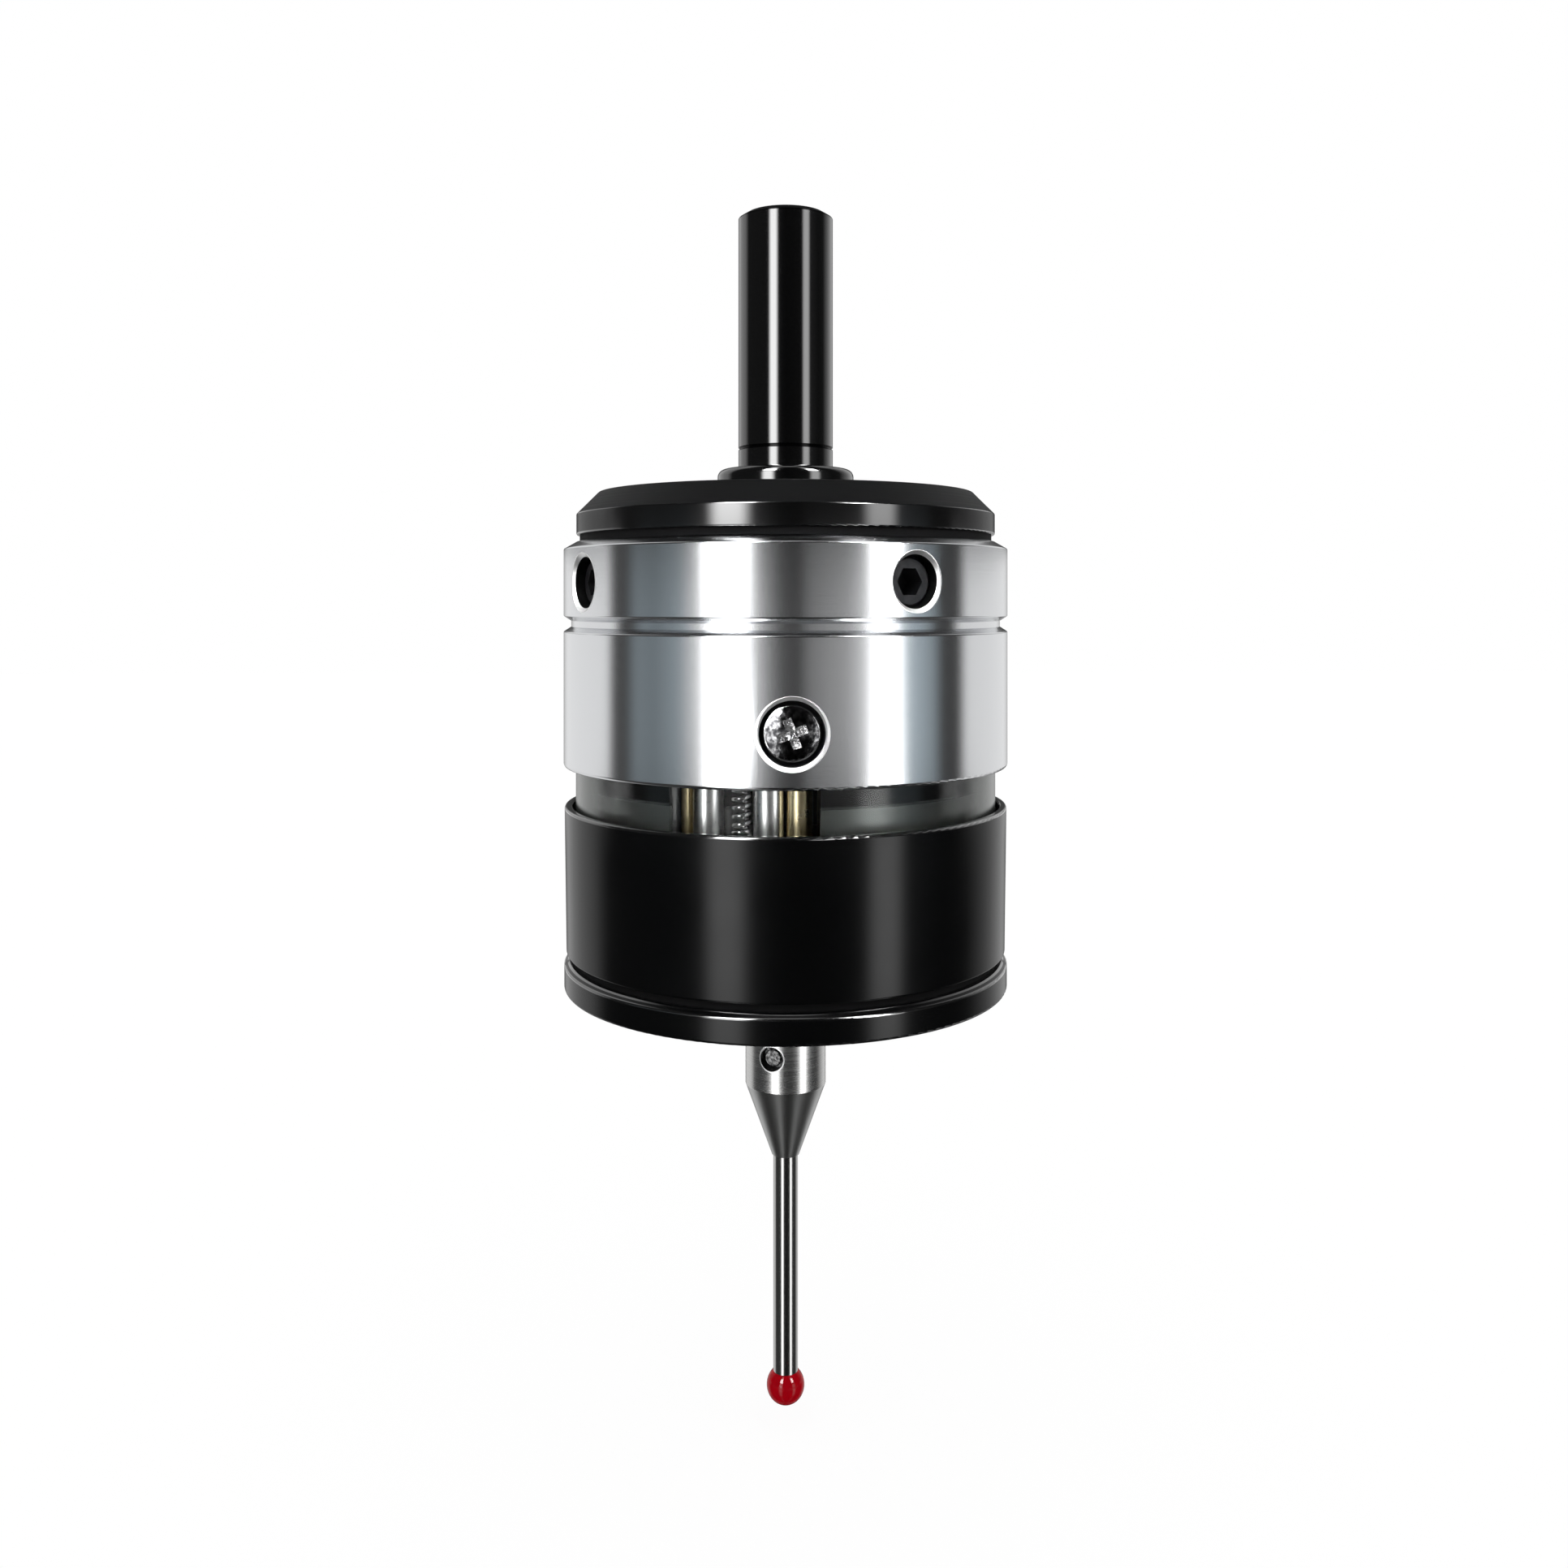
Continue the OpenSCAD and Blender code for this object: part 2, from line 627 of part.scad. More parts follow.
module body_sleeve() {
    color("#c3c6ca")
        difference() {
            turned([
                [head_bore_r, z_body_top], [body_r - body_slope_w, z_body_top],
                [body_r, z_body_top - body_slope_h], [body_r, z_trim + trim_w / 2],
                [body_r - trim_depth, z_trim + trim_floor / 2],
                [body_r - trim_depth, z_trim - trim_floor / 2],
                [body_r, z_trim - trim_w / 2], [body_r, z_body_low], [window_r + drop_gap, z_body_low],
                [window_r + drop_gap, z_pocket], [bay_r, z_pocket], [bay_r, z_bay_top],
                [head_bore_r, z_bay_top]
            ], [[1, edge_ease], [2, edge_ease], [3, edge_ease], [6, edge_ease], [7, body_round]]);
            for (i = [0:centring_count - 1])
                radial(centring_angle + 360 / centring_count * i, z_centring)
                    bevelled_hole(centring_d, head_bore_r - 1);
            for (i = [0:sleeve_screw_count - 1])
                radial(360 / sleeve_screw_count * i, z_sleeve_screw) {
                    bevelled_hole(sleeve_head_d + 2 * counterbore_gap, body_r - counterbore_depth);
                    translate([0, 0, bay_r - 1])
                        cylinder(r = sleeve_screw_d / 2 + drop_gap, h = body_wall);
                }
        }
}

// Headless screw that grows along +Z, with a flat point and a socket in its end
module socket_screw(diameter, length, socket, socket_depth) {
    bevel = diameter / 7;
    difference() {
        turned([
            [0, 0], [diameter / 2 - bevel, 0], [diameter / 2, bevel], [diameter / 2, length - bevel / 2],
            [diameter / 2 - bevel / 2, length], [0, length]
        ]);
        translate([0, 0, length - socket_depth])
            hexagon(socket, socket_depth + 1);
    }
}

module centring_screws() {
    color("#202225")
        for (i = [0:centring_count - 1])
            radial(centring_angle + 360 / centring_count * i, z_centring)
                translate([0, 0, spigot_r])
                    socket_screw(
                        centring_d - 2 * thread_gap, centring_len, centring_socket, centring_socket_depth
                    );
}

// Screw that grows along +Z from under its domed head
module domed_screw() {
    cap_h = sleeve_head_h * 0.35;
    cap_r = (pow(sleeve_head_d / 2, 2) + cap_h * cap_h) / 2 / cap_h;
    difference() {
        union() {
            intersection() {
                cylinder(d = sleeve_head_d, h = sleeve_head_h);
                translate([0, 0, sleeve_head_h - cap_r])
                    sphere(cap_r);
            }
            translate([0, 0, -sleeve_screw_len])
                cylinder(d = sleeve_screw_d, h = sleeve_screw_len + eps);
        }
        translate([0, 0, sleeve_head_h])
            rotate([0, 0, 20])
                cross_recess(sleeve_head_d * 0.16, sleeve_head_d * 0.55, sleeve_head_h * 0.6);
    }
}

module sleeve_screws() {
    color("#d8dadc")
        for (i = [0:sleeve_screw_count - 1])
            radial(360 / sleeve_screw_count * i, z_sleeve_screw)
                translate([0, 0, body_r - counterbore_depth])
                    domed_screw();
}

// Shape of one cell that lies along X, grown by a gap and opened upwards for a pocket
module cell_pocket(side) {
    translate([0, side * cell_shift, z_cell]) {
        rotate([0, 90, 0])
            cylinder(d = pocket_d, h = pocket_len, center = true);
        translate([-pocket_len / 2, -pocket_d / 2, 0])
            cube([pocket_len, pocket_d, tray_h]);
    }
}

module battery_tray() {
    color("#26282b")
        difference() {
            translate([0, 0, z_tray_low])
                cylinder(r = tray_r, h = tray_h);
            cell_pocket(-1);
            cell_pocket(1);
            for (i = [0:sleeve_screw_count - 1])
                radial(360 / sleeve_screw_count * i, z_sleeve_screw)
                    translate([0, 0, body_r - counterbore_depth - sleeve_screw_len - 2 * drop_gap])
                        cylinder(r = sleeve_screw_d / 2 + thread_gap, h = body_wall + sleeve_screw_len);
        }
}

// Round cell along X with a raised pole at one end
module cell(side) {
    can_len = cell_len - pole_h;
    translate([-side * cell_len / 2, side * cell_shift, z_cell])
        rotate([0, side * 90, 0])
            turned([
                [0, 0], [cell_d / 2 - cell_bevel, 0], [cell_d / 2, cell_bevel],
                [cell_d / 2, can_len - cell_bevel], [cell_d / 2 - cell_bevel, can_len],
                [pole_d / 2, can_len], [pole_d / 2, cell_len], [0, cell_len]
            ]);
}

module battery_left() {
    color("#8f959c")
        cell(-1);
}

module battery_right() {
    color("#8f959c")
        cell(1);
}

module battery_contacts() {
    color("#c9a24a")
        for (row = [-1, 1])
            for (end = [-1, 1])
                translate([end * (cell_len / 2 + stack_gap + contact_t / 2), row * cell_shift, z_cell])
                    cube([contact_t, contact_w, contact_w], center = true);
}

module window_seal_upper() {
    color("#101011")
        tube(window_r - drop_gap, window_bore_r + drop_gap, z_window_top, z_pocket);
}

module window_ring() {
    color("#5c666c", 0.45)
        tube(window_r, window_bore_r, z_window_low, z_window_top);
}

module window_seal_lower() {
    color("#101011")
        tube(window_r, window_bore_r + drop_gap, z_bulkhead, z_window_low);
}

module filter_drum() {
    z_low = z_bulkhead + stack_gap;
    side_x = 2 * drum_r * sin(cutout_half);
    side_y = 2 * drum_r * cos(cutout_half);
    color("#141417")
        difference() {
            tube(drum_r, drum_bore_r, z_low, z_drum_top);
            translate([0, 0, z_low + cutout_rim_low])
                rotate([0, 0, cutout_angle])
                    linear_extrude(z_drum_top - z_low - cutout_rim_low - cutout_rim_up)
                        polygon([[0, 0], [-side_x, -side_y], [side_x, -side_y]]);
        }
}

// Repeats a shape at every pillar group, turned by one step to each side
module both_sides(step, z) {
    for (i = [0:group_count - 1])
        for (side = [-1, 1])
            on_circle(group_angle + 360 / group_count * i + side * step, pillar_circle, z)
                children();
}

module steel_pillars() {
    color("#e2e4e6")
        both_sides(steel_step, z_bulkhead)
            cylinder(d = steel_d, h = z_tray_low - z_bulkhead);
}

module brass_standoffs() {
    color("#c7a75a")
        both_sides(brass_step, z_board)
            cylinder(d = brass_d, h = z_tray_low - z_board);
}

module contact_springs() {
    color("#d6d8da")
        for (i = [0:group_count - 1])
            on_circle(group_angle + spring_step + 360 / group_count * i, pillar_circle, 0)
                coil(
                    contact_wire_d, (contact_coil_d - contact_wire_d) / 2, z_board + stack_gap / 2,
                    z_tray_low - stack_gap / 2, contact_turns, 14, 6
                );
}

module circuit_board() {
    color("#14241c")
        difference() {
            tube(board_r, tower_r + 2 * drop_gap, z_bulkhead, z_board);
            both_sides(steel_step, z_bulkhead - 1)
                cylinder(r = steel_d / 2 + drop_gap, h = board_t + 2);
        }
}

module board_chips() {
    color("#1d1e20")
        for (i = [0:8])
            on_circle(40 * i, chip_circle, z_board)
                translate([-chip_w * (0.5 + i % 3 * 0.2), -chip_w / 2, 0])
                    cube([chip_w * (1 + i % 3 * 0.4), chip_w, chip_h * (1 + i % 2 * 0.5)]);
}

// Upright diode body on the board with a round lens that looks outwards
module diode(lens_d) {
    translate([-diode_w / 2, -diode_depth / 2, 0])
        cube([diode_w, diode_depth, diode_h]);
    translate([0, -diode_depth / 2, diode_h / 2])
        sphere(d = lens_d);
}

// Angle halfway between a pillar group and the next
function between_groups(i) = group_angle + 360 / group_count * (i + 0.5);

module ir_emitters() {
    color("#31343c")
        for (i = [0:group_count - 1])
            for (side = [-1, 1])
                on_circle(between_groups(i) + side * emitter_step, diode_circle, z_board)
                    diode(diode_lens_d);
}

module ir_receivers() {
    color("#1a1c22")
        for (i = [0:group_count - 1])
            on_circle(between_groups(i), diode_circle, z_board)
                diode(receiver_lens_d);
}

module status_lamp() {
    color("#eef0ee")
        on_circle(group_angle - lamp_step, lamp_circle, z_board) {
            cylinder(d = lamp_d, h = lamp_h);
            translate([0, 0, lamp_h])
                sphere(d = lamp_d);
        }
}

// Repeats a shape at every cover screw
module at_cover_screws(z) {
    for (i = [0:cover_screw_count - 1])
        on_circle(cover_screw_angle + 360 / cover_screw_count * i, cover_screw_circle, z)
            children();
}

module lower_sleeve() {
    color("#17191c")
        difference() {
            turned([
                [lower_r, z_rim], [lower_end_r, z_lower_low], [seat_pocket_r, z_lower_low],
                [seat_pocket_r, z_seat_top], [cavity_r, z_seat_top], [cavity_r, z_ceiling],
                [guide_r, z_ceiling], [guide_r, z_plug_low], [plug_r, z_plug_low], [plug_r, z_tower],
                [tower_r, z_tower], [tower_r, z_bulkhead], [rim_bore_r, z_bulkhead], [rim_bore_r, z_rim]
            ], [[0, rim_round], [1, edge_ease], [13, edge_ease]]);
            at_cover_screws(z_lower_low - 1)
                cylinder(
                    r = cover_screw_d / 2 + thread_gap,
                    h = cover_screw_len - cover_h - cover_seal_h + drill_room + 1
                );
        }
}

module spring_plug() {
    color("#8d9196")
        difference() {
            translate([0, 0, z_plug_low])
                cylinder(r = plug_r - thread_gap, h = z_tower - z_plug_low);
            translate([-plug_r - 1, -plug_slot_w / 2, z_tower - plug_slot_depth])
                cube([2 * plug_r + 2, plug_slot_w, plug_slot_depth + 1]);
        }
}

module main_spring() {
    color("#9aa0a6")
        coil(
            main_wire_d, cup_bore_r - main_gap - main_wire_d / 2, z_cup_floor + stack_gap,
            z_plug_low - stack_gap, main_turns, 24, 8
        );
}

module seat_ring() {
    color("#a4a9ae")
        turned([
            [seat_out_r, z_seat_top], [seat_in_r, z_seat_in], [neck_swing(z_seat_low), z_seat_low],
            [seat_r, z_seat_low], [seat_r, z_seat_top]
        ]);
}

module cover_seal() {
    color("#0c0c0d")
        difference() {
            tube(cover_seal_r, seat_pocket_r, z_cover_top, z_lower_low);
            at_cover_screws(z_cover_top - 1)
                cylinder(r = cover_screw_d / 2 + drop_gap, h = cover_seal_h + 2);
        }
}

module front_wiper() {
    color("#0f0f10")
        tube(wiper_r, wiper_in_r, z_seat_low - wiper_h, z_seat_low);
}

module bottom_cover() {
    head_h = (cover_head_d - cover_screw_d) / 2;
    color("#17191c")
        difference() {
            turned([
                [cover_r - cover_slope_w, z_cover_top], [cover_r, z_cover_top - cover_slope_h],
                [cover_r, z_cover_low], [mouth_r + mouth_bevel, z_cover_low],
                [mouth_r, z_cover_low + mouth_bevel], [mouth_r, z_seat_low - wiper_h],
                [wiper_r + drop_gap, z_seat_low - wiper_h], [wiper_r + drop_gap, z_seat_low],
                [seat_pocket_r, z_seat_low], [seat_pocket_r, z_cover_top]
            ], [[0, edge_ease], [1, edge_ease], [2, cover_round], [3, edge_ease]]);
            at_cover_screws(z_cover_low) {
                translate([0, 0, -1])
                    cylinder(r = cover_screw_d / 2 + drop_gap, h = cover_h + 2);
                translate([0, 0, -eps])
                    cylinder(
                        d1 = cover_head_d + 2 * drop_gap, d2 = cover_screw_d + 2 * drop_gap, h = head_h + eps
                    );
            }
        }
}

module cover_screws() {
    head_h = (cover_head_d - cover_screw_d) / 2;
    color("#2a2c30")
        at_cover_screws(z_cover_low)
            difference() {
                turned([
                    [0, 0], [cover_head_d / 2, 0], [cover_screw_d / 2, head_h],
                    [cover_screw_d / 2, cover_screw_len], [0, cover_screw_len]
                ]);
                mirror([0, 0, 1])
                    rotate([0, 0, 35])
                        cross_recess(cover_head_d * 0.15, cover_head_d * 0.6, head_h * 0.8);
            }
}

module spring_cup() {
    color("#b4b8bd")
        difference() {
            turned([
                [0, z_cup_low], [cup_r, z_cup_low], [cup_r, z_cup_top], [cup_bore_r, z_cup_top],
                [cup_bore_r, z_cup_floor], [0, z_cup_floor]
            ]);
            translate([0, 0, z_pivot])
                sphere(d = thrust_d + 2 * run_gap);
        }
}

module thrust_ball() {
    color("#dfe2e5")
        translate([0, 0, z_pivot])
            sphere(d = thrust_d);
}

module stylus_carrier() {
    neck_len = z_pivot - carrier_drop - z_stylus;
    color("#babec3")
        difference() {
            union() {
                intersection() {
                    translate([0, 0, z_pivot])
                        sphere(d = bearing_d);
                    translate([0, 0, z_pivot - bearing_r])
                        cylinder(d = carrier_d, h = bearing_r - carrier_drop);
                }
                translate([0, 0, z_stylus])
                    cylinder(d = neck_d, h = neck_len);
            }
            translate([0, 0, z_pivot])
                sphere(d = thrust_d + 2 * run_gap);
            translate([0, 0, z_stylus - 1])
                cylinder(r = stud_d / 2 + thread_gap, h = stud_len + drill_room + 1);
        }
}

module stylus_base() {
    bore_r = stem_d / 2 + drop_gap / 2;
    color("#ced1d4")
        difference() {
            turned([
                [0, z_stylus + stud_len], [stud_d / 2 - stud_bevel, z_stylus + stud_len],
                [stud_d / 2, z_stylus + stud_len - stud_bevel], [stud_d / 2, z_stylus],
                [base_d / 2 - base_bevel, z_stylus], [base_d / 2, z_stylus - base_bevel],
                [base_d / 2, z_base_low], [cone_tip_d / 2, z_cone_low], [0, z_cone_low]
            ], [[4, edge_ease], [5, edge_ease], [6, edge_ease]]);
            translate([0, 0, z_cone_low - 1])
                cylinder(r = bore_r, h = z_base_low + stem_depth - z_cone_low + 1);
            radial(lock_angle, z_lock)
                cylinder(d = lock_d, h = base_d);
        }
}

module lock_screw() {
    color("#8b9096")
        radial(lock_angle, z_lock)
            translate([0, 0, stem_d / 2])
                socket_screw(
                    lock_d - 2 * thread_gap, base_d / 2 - lock_recess - stem_d / 2, lock_socket,
                    (base_d / 2 - lock_recess - stem_d / 2) * 0.6
                );
}

module stylus_stem() {
    pin_len = ball_d / 4;
    color("#dfe1e3")
        difference() {
            translate([0, 0, z_ball])
                cylinder(d = stem_d, h = z_base_low + stem_depth - z_ball);
            difference() {
                translate([0, 0, z_ball])
                    sphere(d = ball_d + stack_gap);
                translate([0, 0, z_ball + pin_len])
                    cylinder(d = ball_pin_d, h = ball_d);
            }
        }
}

module ruby_ball() {
    pin_len = ball_d / 4;
    color("#b3122a")
        difference() {
            translate([0, 0, z_ball])
                sphere(d = ball_d);
            translate([0, 0, z_ball + pin_len - stack_gap])
                cylinder(r = ball_pin_d / 2 + thread_gap, h = ball_d);
        }
}

shank();
shank_washer();
shank_nut();
top_plate();
top_gasket();
body_sleeve();
centring_screws();
sleeve_screws();
battery_tray();
battery_left();
battery_right();
battery_contacts();
window_seal_upper();
window_ring();
window_seal_lower();
filter_drum();
steel_pillars();
brass_standoffs();
contact_springs();
circuit_board();
board_chips();
ir_emitters();
ir_receivers();
status_lamp();
lower_sleeve();
spring_plug();
main_spring();
seat_ring();
cover_seal();
front_wiper();
bottom_cover();
cover_screws();
spring_cup();
thrust_ball();
stylus_carrier();
stylus_base();
lock_screw();
stylus_stem();
ruby_ball();
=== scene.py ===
# %% [markdown]
# A touch probe for a machine spindle: a black shank and head plate, a bright body sleeve, a clear window
# with electronics behind it, a black lower housing, and a ruby-tipped stylus that tilts and lifts.
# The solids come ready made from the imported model. Here they get their finishes, and the small pieces
# that repeat, such as screws, springs and pillars, are made again in finer detail with Geometry Nodes.

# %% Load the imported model
import json
import math

import bpy
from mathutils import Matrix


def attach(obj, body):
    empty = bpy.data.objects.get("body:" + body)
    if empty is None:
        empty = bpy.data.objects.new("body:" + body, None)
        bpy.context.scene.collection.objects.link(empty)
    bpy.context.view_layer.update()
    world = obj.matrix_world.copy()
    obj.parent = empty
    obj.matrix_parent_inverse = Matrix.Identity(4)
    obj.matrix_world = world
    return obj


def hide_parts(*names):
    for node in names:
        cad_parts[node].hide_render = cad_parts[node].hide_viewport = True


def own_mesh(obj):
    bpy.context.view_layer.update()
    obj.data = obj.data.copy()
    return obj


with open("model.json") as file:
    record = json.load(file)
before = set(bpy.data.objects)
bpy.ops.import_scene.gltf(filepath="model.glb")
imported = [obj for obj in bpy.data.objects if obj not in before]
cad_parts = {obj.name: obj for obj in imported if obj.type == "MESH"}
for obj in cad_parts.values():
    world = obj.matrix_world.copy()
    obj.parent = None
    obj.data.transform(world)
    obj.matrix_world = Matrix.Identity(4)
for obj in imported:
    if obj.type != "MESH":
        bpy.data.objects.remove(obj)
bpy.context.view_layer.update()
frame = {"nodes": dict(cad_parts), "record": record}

MM = 0.001
nodes = frame["nodes"]

# %% [markdown]
# The camera stands level with the upper body and looks straight ahead, so the upright edges stay
# parallel. The frame is slid downwards with the lens shift, as a view camera does, instead of tilting
# the camera. The eye is close, which is why the rings of the body open into wide ellipses.

# %% Camera
EYE_DISTANCE = 148.3 * MM
EYE_HEIGHT = -13.73 * MM
EYE_AZIMUTH = math.radians(-1.5)
FOCAL_LENGTH, SENSOR_WIDTH = 32.1, 36
SHIFT_ACROSS, SHIFT_UP = -0.001, -0.1175
NEAREST, FARTHEST = 0.005, 20

eye = bpy.data.cameras.new("eye")
eye.sensor_width = SENSOR_WIDTH
eye.lens = FOCAL_LENGTH
eye.shift_x, eye.shift_y = SHIFT_ACROSS, SHIFT_UP
eye.clip_start, eye.clip_end = NEAREST, FARTHEST
camera = bpy.data.objects.new("eye", eye)
camera.location = (
    math.sin(EYE_AZIMUTH) * EYE_DISTANCE, -math.cos(EYE_AZIMUTH) * EYE_DISTANCE, EYE_HEIGHT
)
camera.rotation_euler = (math.radians(90), 0, EYE_AZIMUTH)
scene = bpy.context.scene
scene.collection.objects.link(camera)
scene.camera = camera
scene.view_settings.view_transform = "Standard"
print("camera", [round(v, 4) for v in camera.location])

# %% [markdown]
# Shader maths reads best as plain expressions. A small class wraps a node's output socket, so that
# adding or multiplying two sockets adds a Math node, and 1 - mask works as well. One method adds any
# other node: it takes the node's type, then its settings, then the values or links of its inputs.

# %% Socket arithmetic
class Socket:
    def __init__(self, tree, output=None):
        self.tree = tree
        self.output = output

    def add(self, kind, settings=None, inputs=None, output=0):
        node = self.tree.nodes.new(kind)
        for name, value in (settings or {}).items():
            if name == "stops":
                ramp = node.color_ramp
                while len(ramp.elements) < len(value):
                    ramp.elements.new(0.5)
                for stop, (place, colour) in zip(ramp.elements, value):
                    stop.position = place
                    stop.color = (*colour, 1)
            else:
                setattr(node, name, value)
        for name, value in (inputs or {}).items():
            self.feed(node.inputs[name], value)
        return Socket(self.tree, node.outputs[output])

    def feed(self, target, value):
        if isinstance(value, Socket):
            self.tree.links.new(value.output, target)
        elif isinstance(value, tuple) and len(value) == 3 and target.type == "RGBA":
            target.default_value = (*value, 1)
        else:
            target.default_value = value

    def math(self, operation, first, second=0.0):
        return self.add("ShaderNodeMath", {"operation": operation}, {0: first, 1: second})

    def __add__(self, other):
        return self.math("ADD", self, other)

    def __radd__(self, other):
        return self.math("ADD", other, self)

    def __sub__(self, other):
        return self.math("SUBTRACT", self, other)

    def __rsub__(self, other):
        return self.math("SUBTRACT", other, self)

    def __mul__(self, other):
        return self.math("MULTIPLY", self, other)

    def __truediv__(self, other):
        return self.math("DIVIDE", self, other)

    def __pow__(self, other):
        return self.math("POWER", self, other)

    def __gt__(self, other):
        return self.math("GREATER_THAN", self, other)

    def __lt__(self, other):
        return self.math("LESS_THAN", self, other)

    def step(self, low, high):
        return self.add(
            "ShaderNodeMapRange", {"interpolation_type": "SMOOTHSTEP"},
            {"Value": self, "From Min": low, "From Max": high},
        )

    def blend(self, first, second):
        return self.add(
            "ShaderNodeMix", {"data_type": "RGBA"}, {0: self, 6: first, 7: second}, 2
        )


def position(start):
    return start.add("ShaderNodeTexCoord", output="Object")


def axes_of(vector):
    split = vector.add("ShaderNodeSeparateXYZ", None, {0: vector})
    outputs = split.output.node.outputs
    return [Socket(vector.tree, output) for output in outputs]

# %% [markdown]
# The studio is a white tent: the polished metal mirrors upright strip lights with dark and blue-grey
# cards between them. Lamps and cards could be set up round the object, but the world can hold the whole
# room. A colour ramp over the compass angle, counted from the camera, lists the cards, once at the height
# of the body and once above and below it, where the room is darker. Two strips stand out from the cards.
# Their strength changes with height, so that the stylus, the housing, the body and the shank each mirror
# as much of them as they should, and high up they swell into lamps that show as bright spots on the ball.
# Seen from behind and above, the plate's flat top mirrors these lamps too, and looks nearly white.

# %% Cards and strips
WHITE, BLUE = (1.0, 1.0, 1.0), (0.86, 1.0, 1.08)
# compass angle in degrees, level and tint of each card
BODY_ROOM = [
    (-180, 0.3, WHITE), (-166, 0.35, WHITE), (-150, 0.88, WHITE), (-101, 0.86, WHITE),
    (-95, 0.07, WHITE), (-86, 0.07, WHITE), (-79, 0.25, BLUE), (-68, 0.21, BLUE),
    (-54, 0.34, BLUE), (-45, 0.68, WHITE), (-17, 0.85, WHITE), (-12, 0.45, WHITE),
    (-3, 0.11, WHITE), (7, 0.05, WHITE), (10, 0.2, WHITE), (19, 0.3, WHITE),
    (30, 0.4, WHITE), (43, 0.85, WHITE), (56, 0.85, WHITE), (62, 0.58, BLUE),
    (78, 0.32, BLUE), (84, 0.06, WHITE), (96, 0.05, WHITE), (103, 0.8, WHITE),
    (150, 0.88, WHITE), (166, 0.45, WHITE), (180, 0.3, WHITE),
]
DARK_ROOM = [
    (-180, 0.05, WHITE), (-164, 0.08, WHITE), (-152, 0.8, WHITE), (-114, 0.8, WHITE),
    (-102, 0.05, WHITE), (-50, 0.05, WHITE), (-24, 0.05, WHITE), (0, 0.012, WHITE),
    (34, 0.025, WHITE), (66, 0.09, WHITE), (86, 0.03, WHITE), (104, 0.05, WHITE),
    (116, 0.4, WHITE), (136, 0.8, WHITE), (152, 0.8, WHITE), (164, 0.08, WHITE), (180, 0.05, WHITE),
]
# middle and half width in degrees, then the strength at the stylus, the lower housing, the body and the
# shank, and last in the dark gap above the shank, in the high lamp and over it
STRIPS = [
    (-29.5, 11.5, (2.6, 5.2, 3.2, 11.0, 1.65, 80.0, 11.5)),
    (51, 10, (2.4, 5.0, 1.5, 4.0, 0.6, 70.0, 4.2)),
]
# between these heights in degrees one strength turns into the next
STRIP_STEPS = [(-19, -16), (-10, -8), (1, 5), (17, 21), (24, 29), (45, 51)]
STRIP_TOP, STRIP_FOOT = (64, 74), (-46, -33)
STRIP_CORE, STRIP_EDGE = 0.4, 2
FOOT_LEVEL = 0.15


def room_ramp(compass, room):
    stops = [
        ((angle + 180) / 360, tuple(level * part for part in tint)) for angle, level, tint in room
    ]
    return compass.add("ShaderNodeValToRGB", {"stops": stops}, {"Fac": (compass + 180) / 360})


def strip_light(compass, height):
    total = 0.0
    for middle, half_width, levels in STRIPS:
        gap = compass.math("ABSOLUTE", compass - middle)
        level = levels[0]
        for (low, high), before, after in zip(STRIP_STEPS, levels, levels[1:]):
            level = height.step(low, high) * (after - before) + level
        total = (1 - gap.step(half_width * STRIP_CORE, half_width + STRIP_EDGE)) * level + total
    foot = FOOT_LEVEL + height.step(*STRIP_FOOT) * (1 - FOOT_LEVEL)
    return total * (1 - height.step(*STRIP_TOP)) * foot


print(len(BODY_ROOM) + len(DARK_ROOM), "cards and", len(STRIPS), "strips")

# %% [markdown]
# The room fades high above and far below, and its back is dark beside the plate's rim. The bevels that
# face up mirror a plain ceiling. Light Path tells the rays apart: a camera ray sees plain white, a glossy
# ray sees the room, and every other ray sees one soft level, so that a colour renders as it is written.

# %% World
SOFT_LEVEL, CEILING_LEVEL = 0.9, 0.9
# heights in degrees between which one part of the room turns into the next
BODY_FOOT, BODY_TOP = (-10, -8), (1.8, 3)
RIM_FOOT, RIM_TOP = (1.6, 2.4), (3.8, 4.8)
ROOM_FOOT, ROOM_TOP = (-48, -34), (54, 68)
CEILING = (74, 82)
# compass angles in degrees at which the back of the room begins
BACK = (98, 112)
ROOM_FOOT_LEVEL, ROOM_TOP_FADE, RIM_FADE = 0.35, 0.78, 0.7


def room_level(compass, height):
    top = 1 - height.step(*ROOM_TOP) * ROOM_TOP_FADE
    foot = ROOM_FOOT_LEVEL + height.step(*ROOM_FOOT) * (1 - ROOM_FOOT_LEVEL)
    back = compass.math("ABSOLUTE", compass).step(*BACK)
    beside_rim = height.step(*RIM_FOOT) - height.step(*RIM_TOP)
    return top * foot * (1 - back * beside_rim * RIM_FADE)


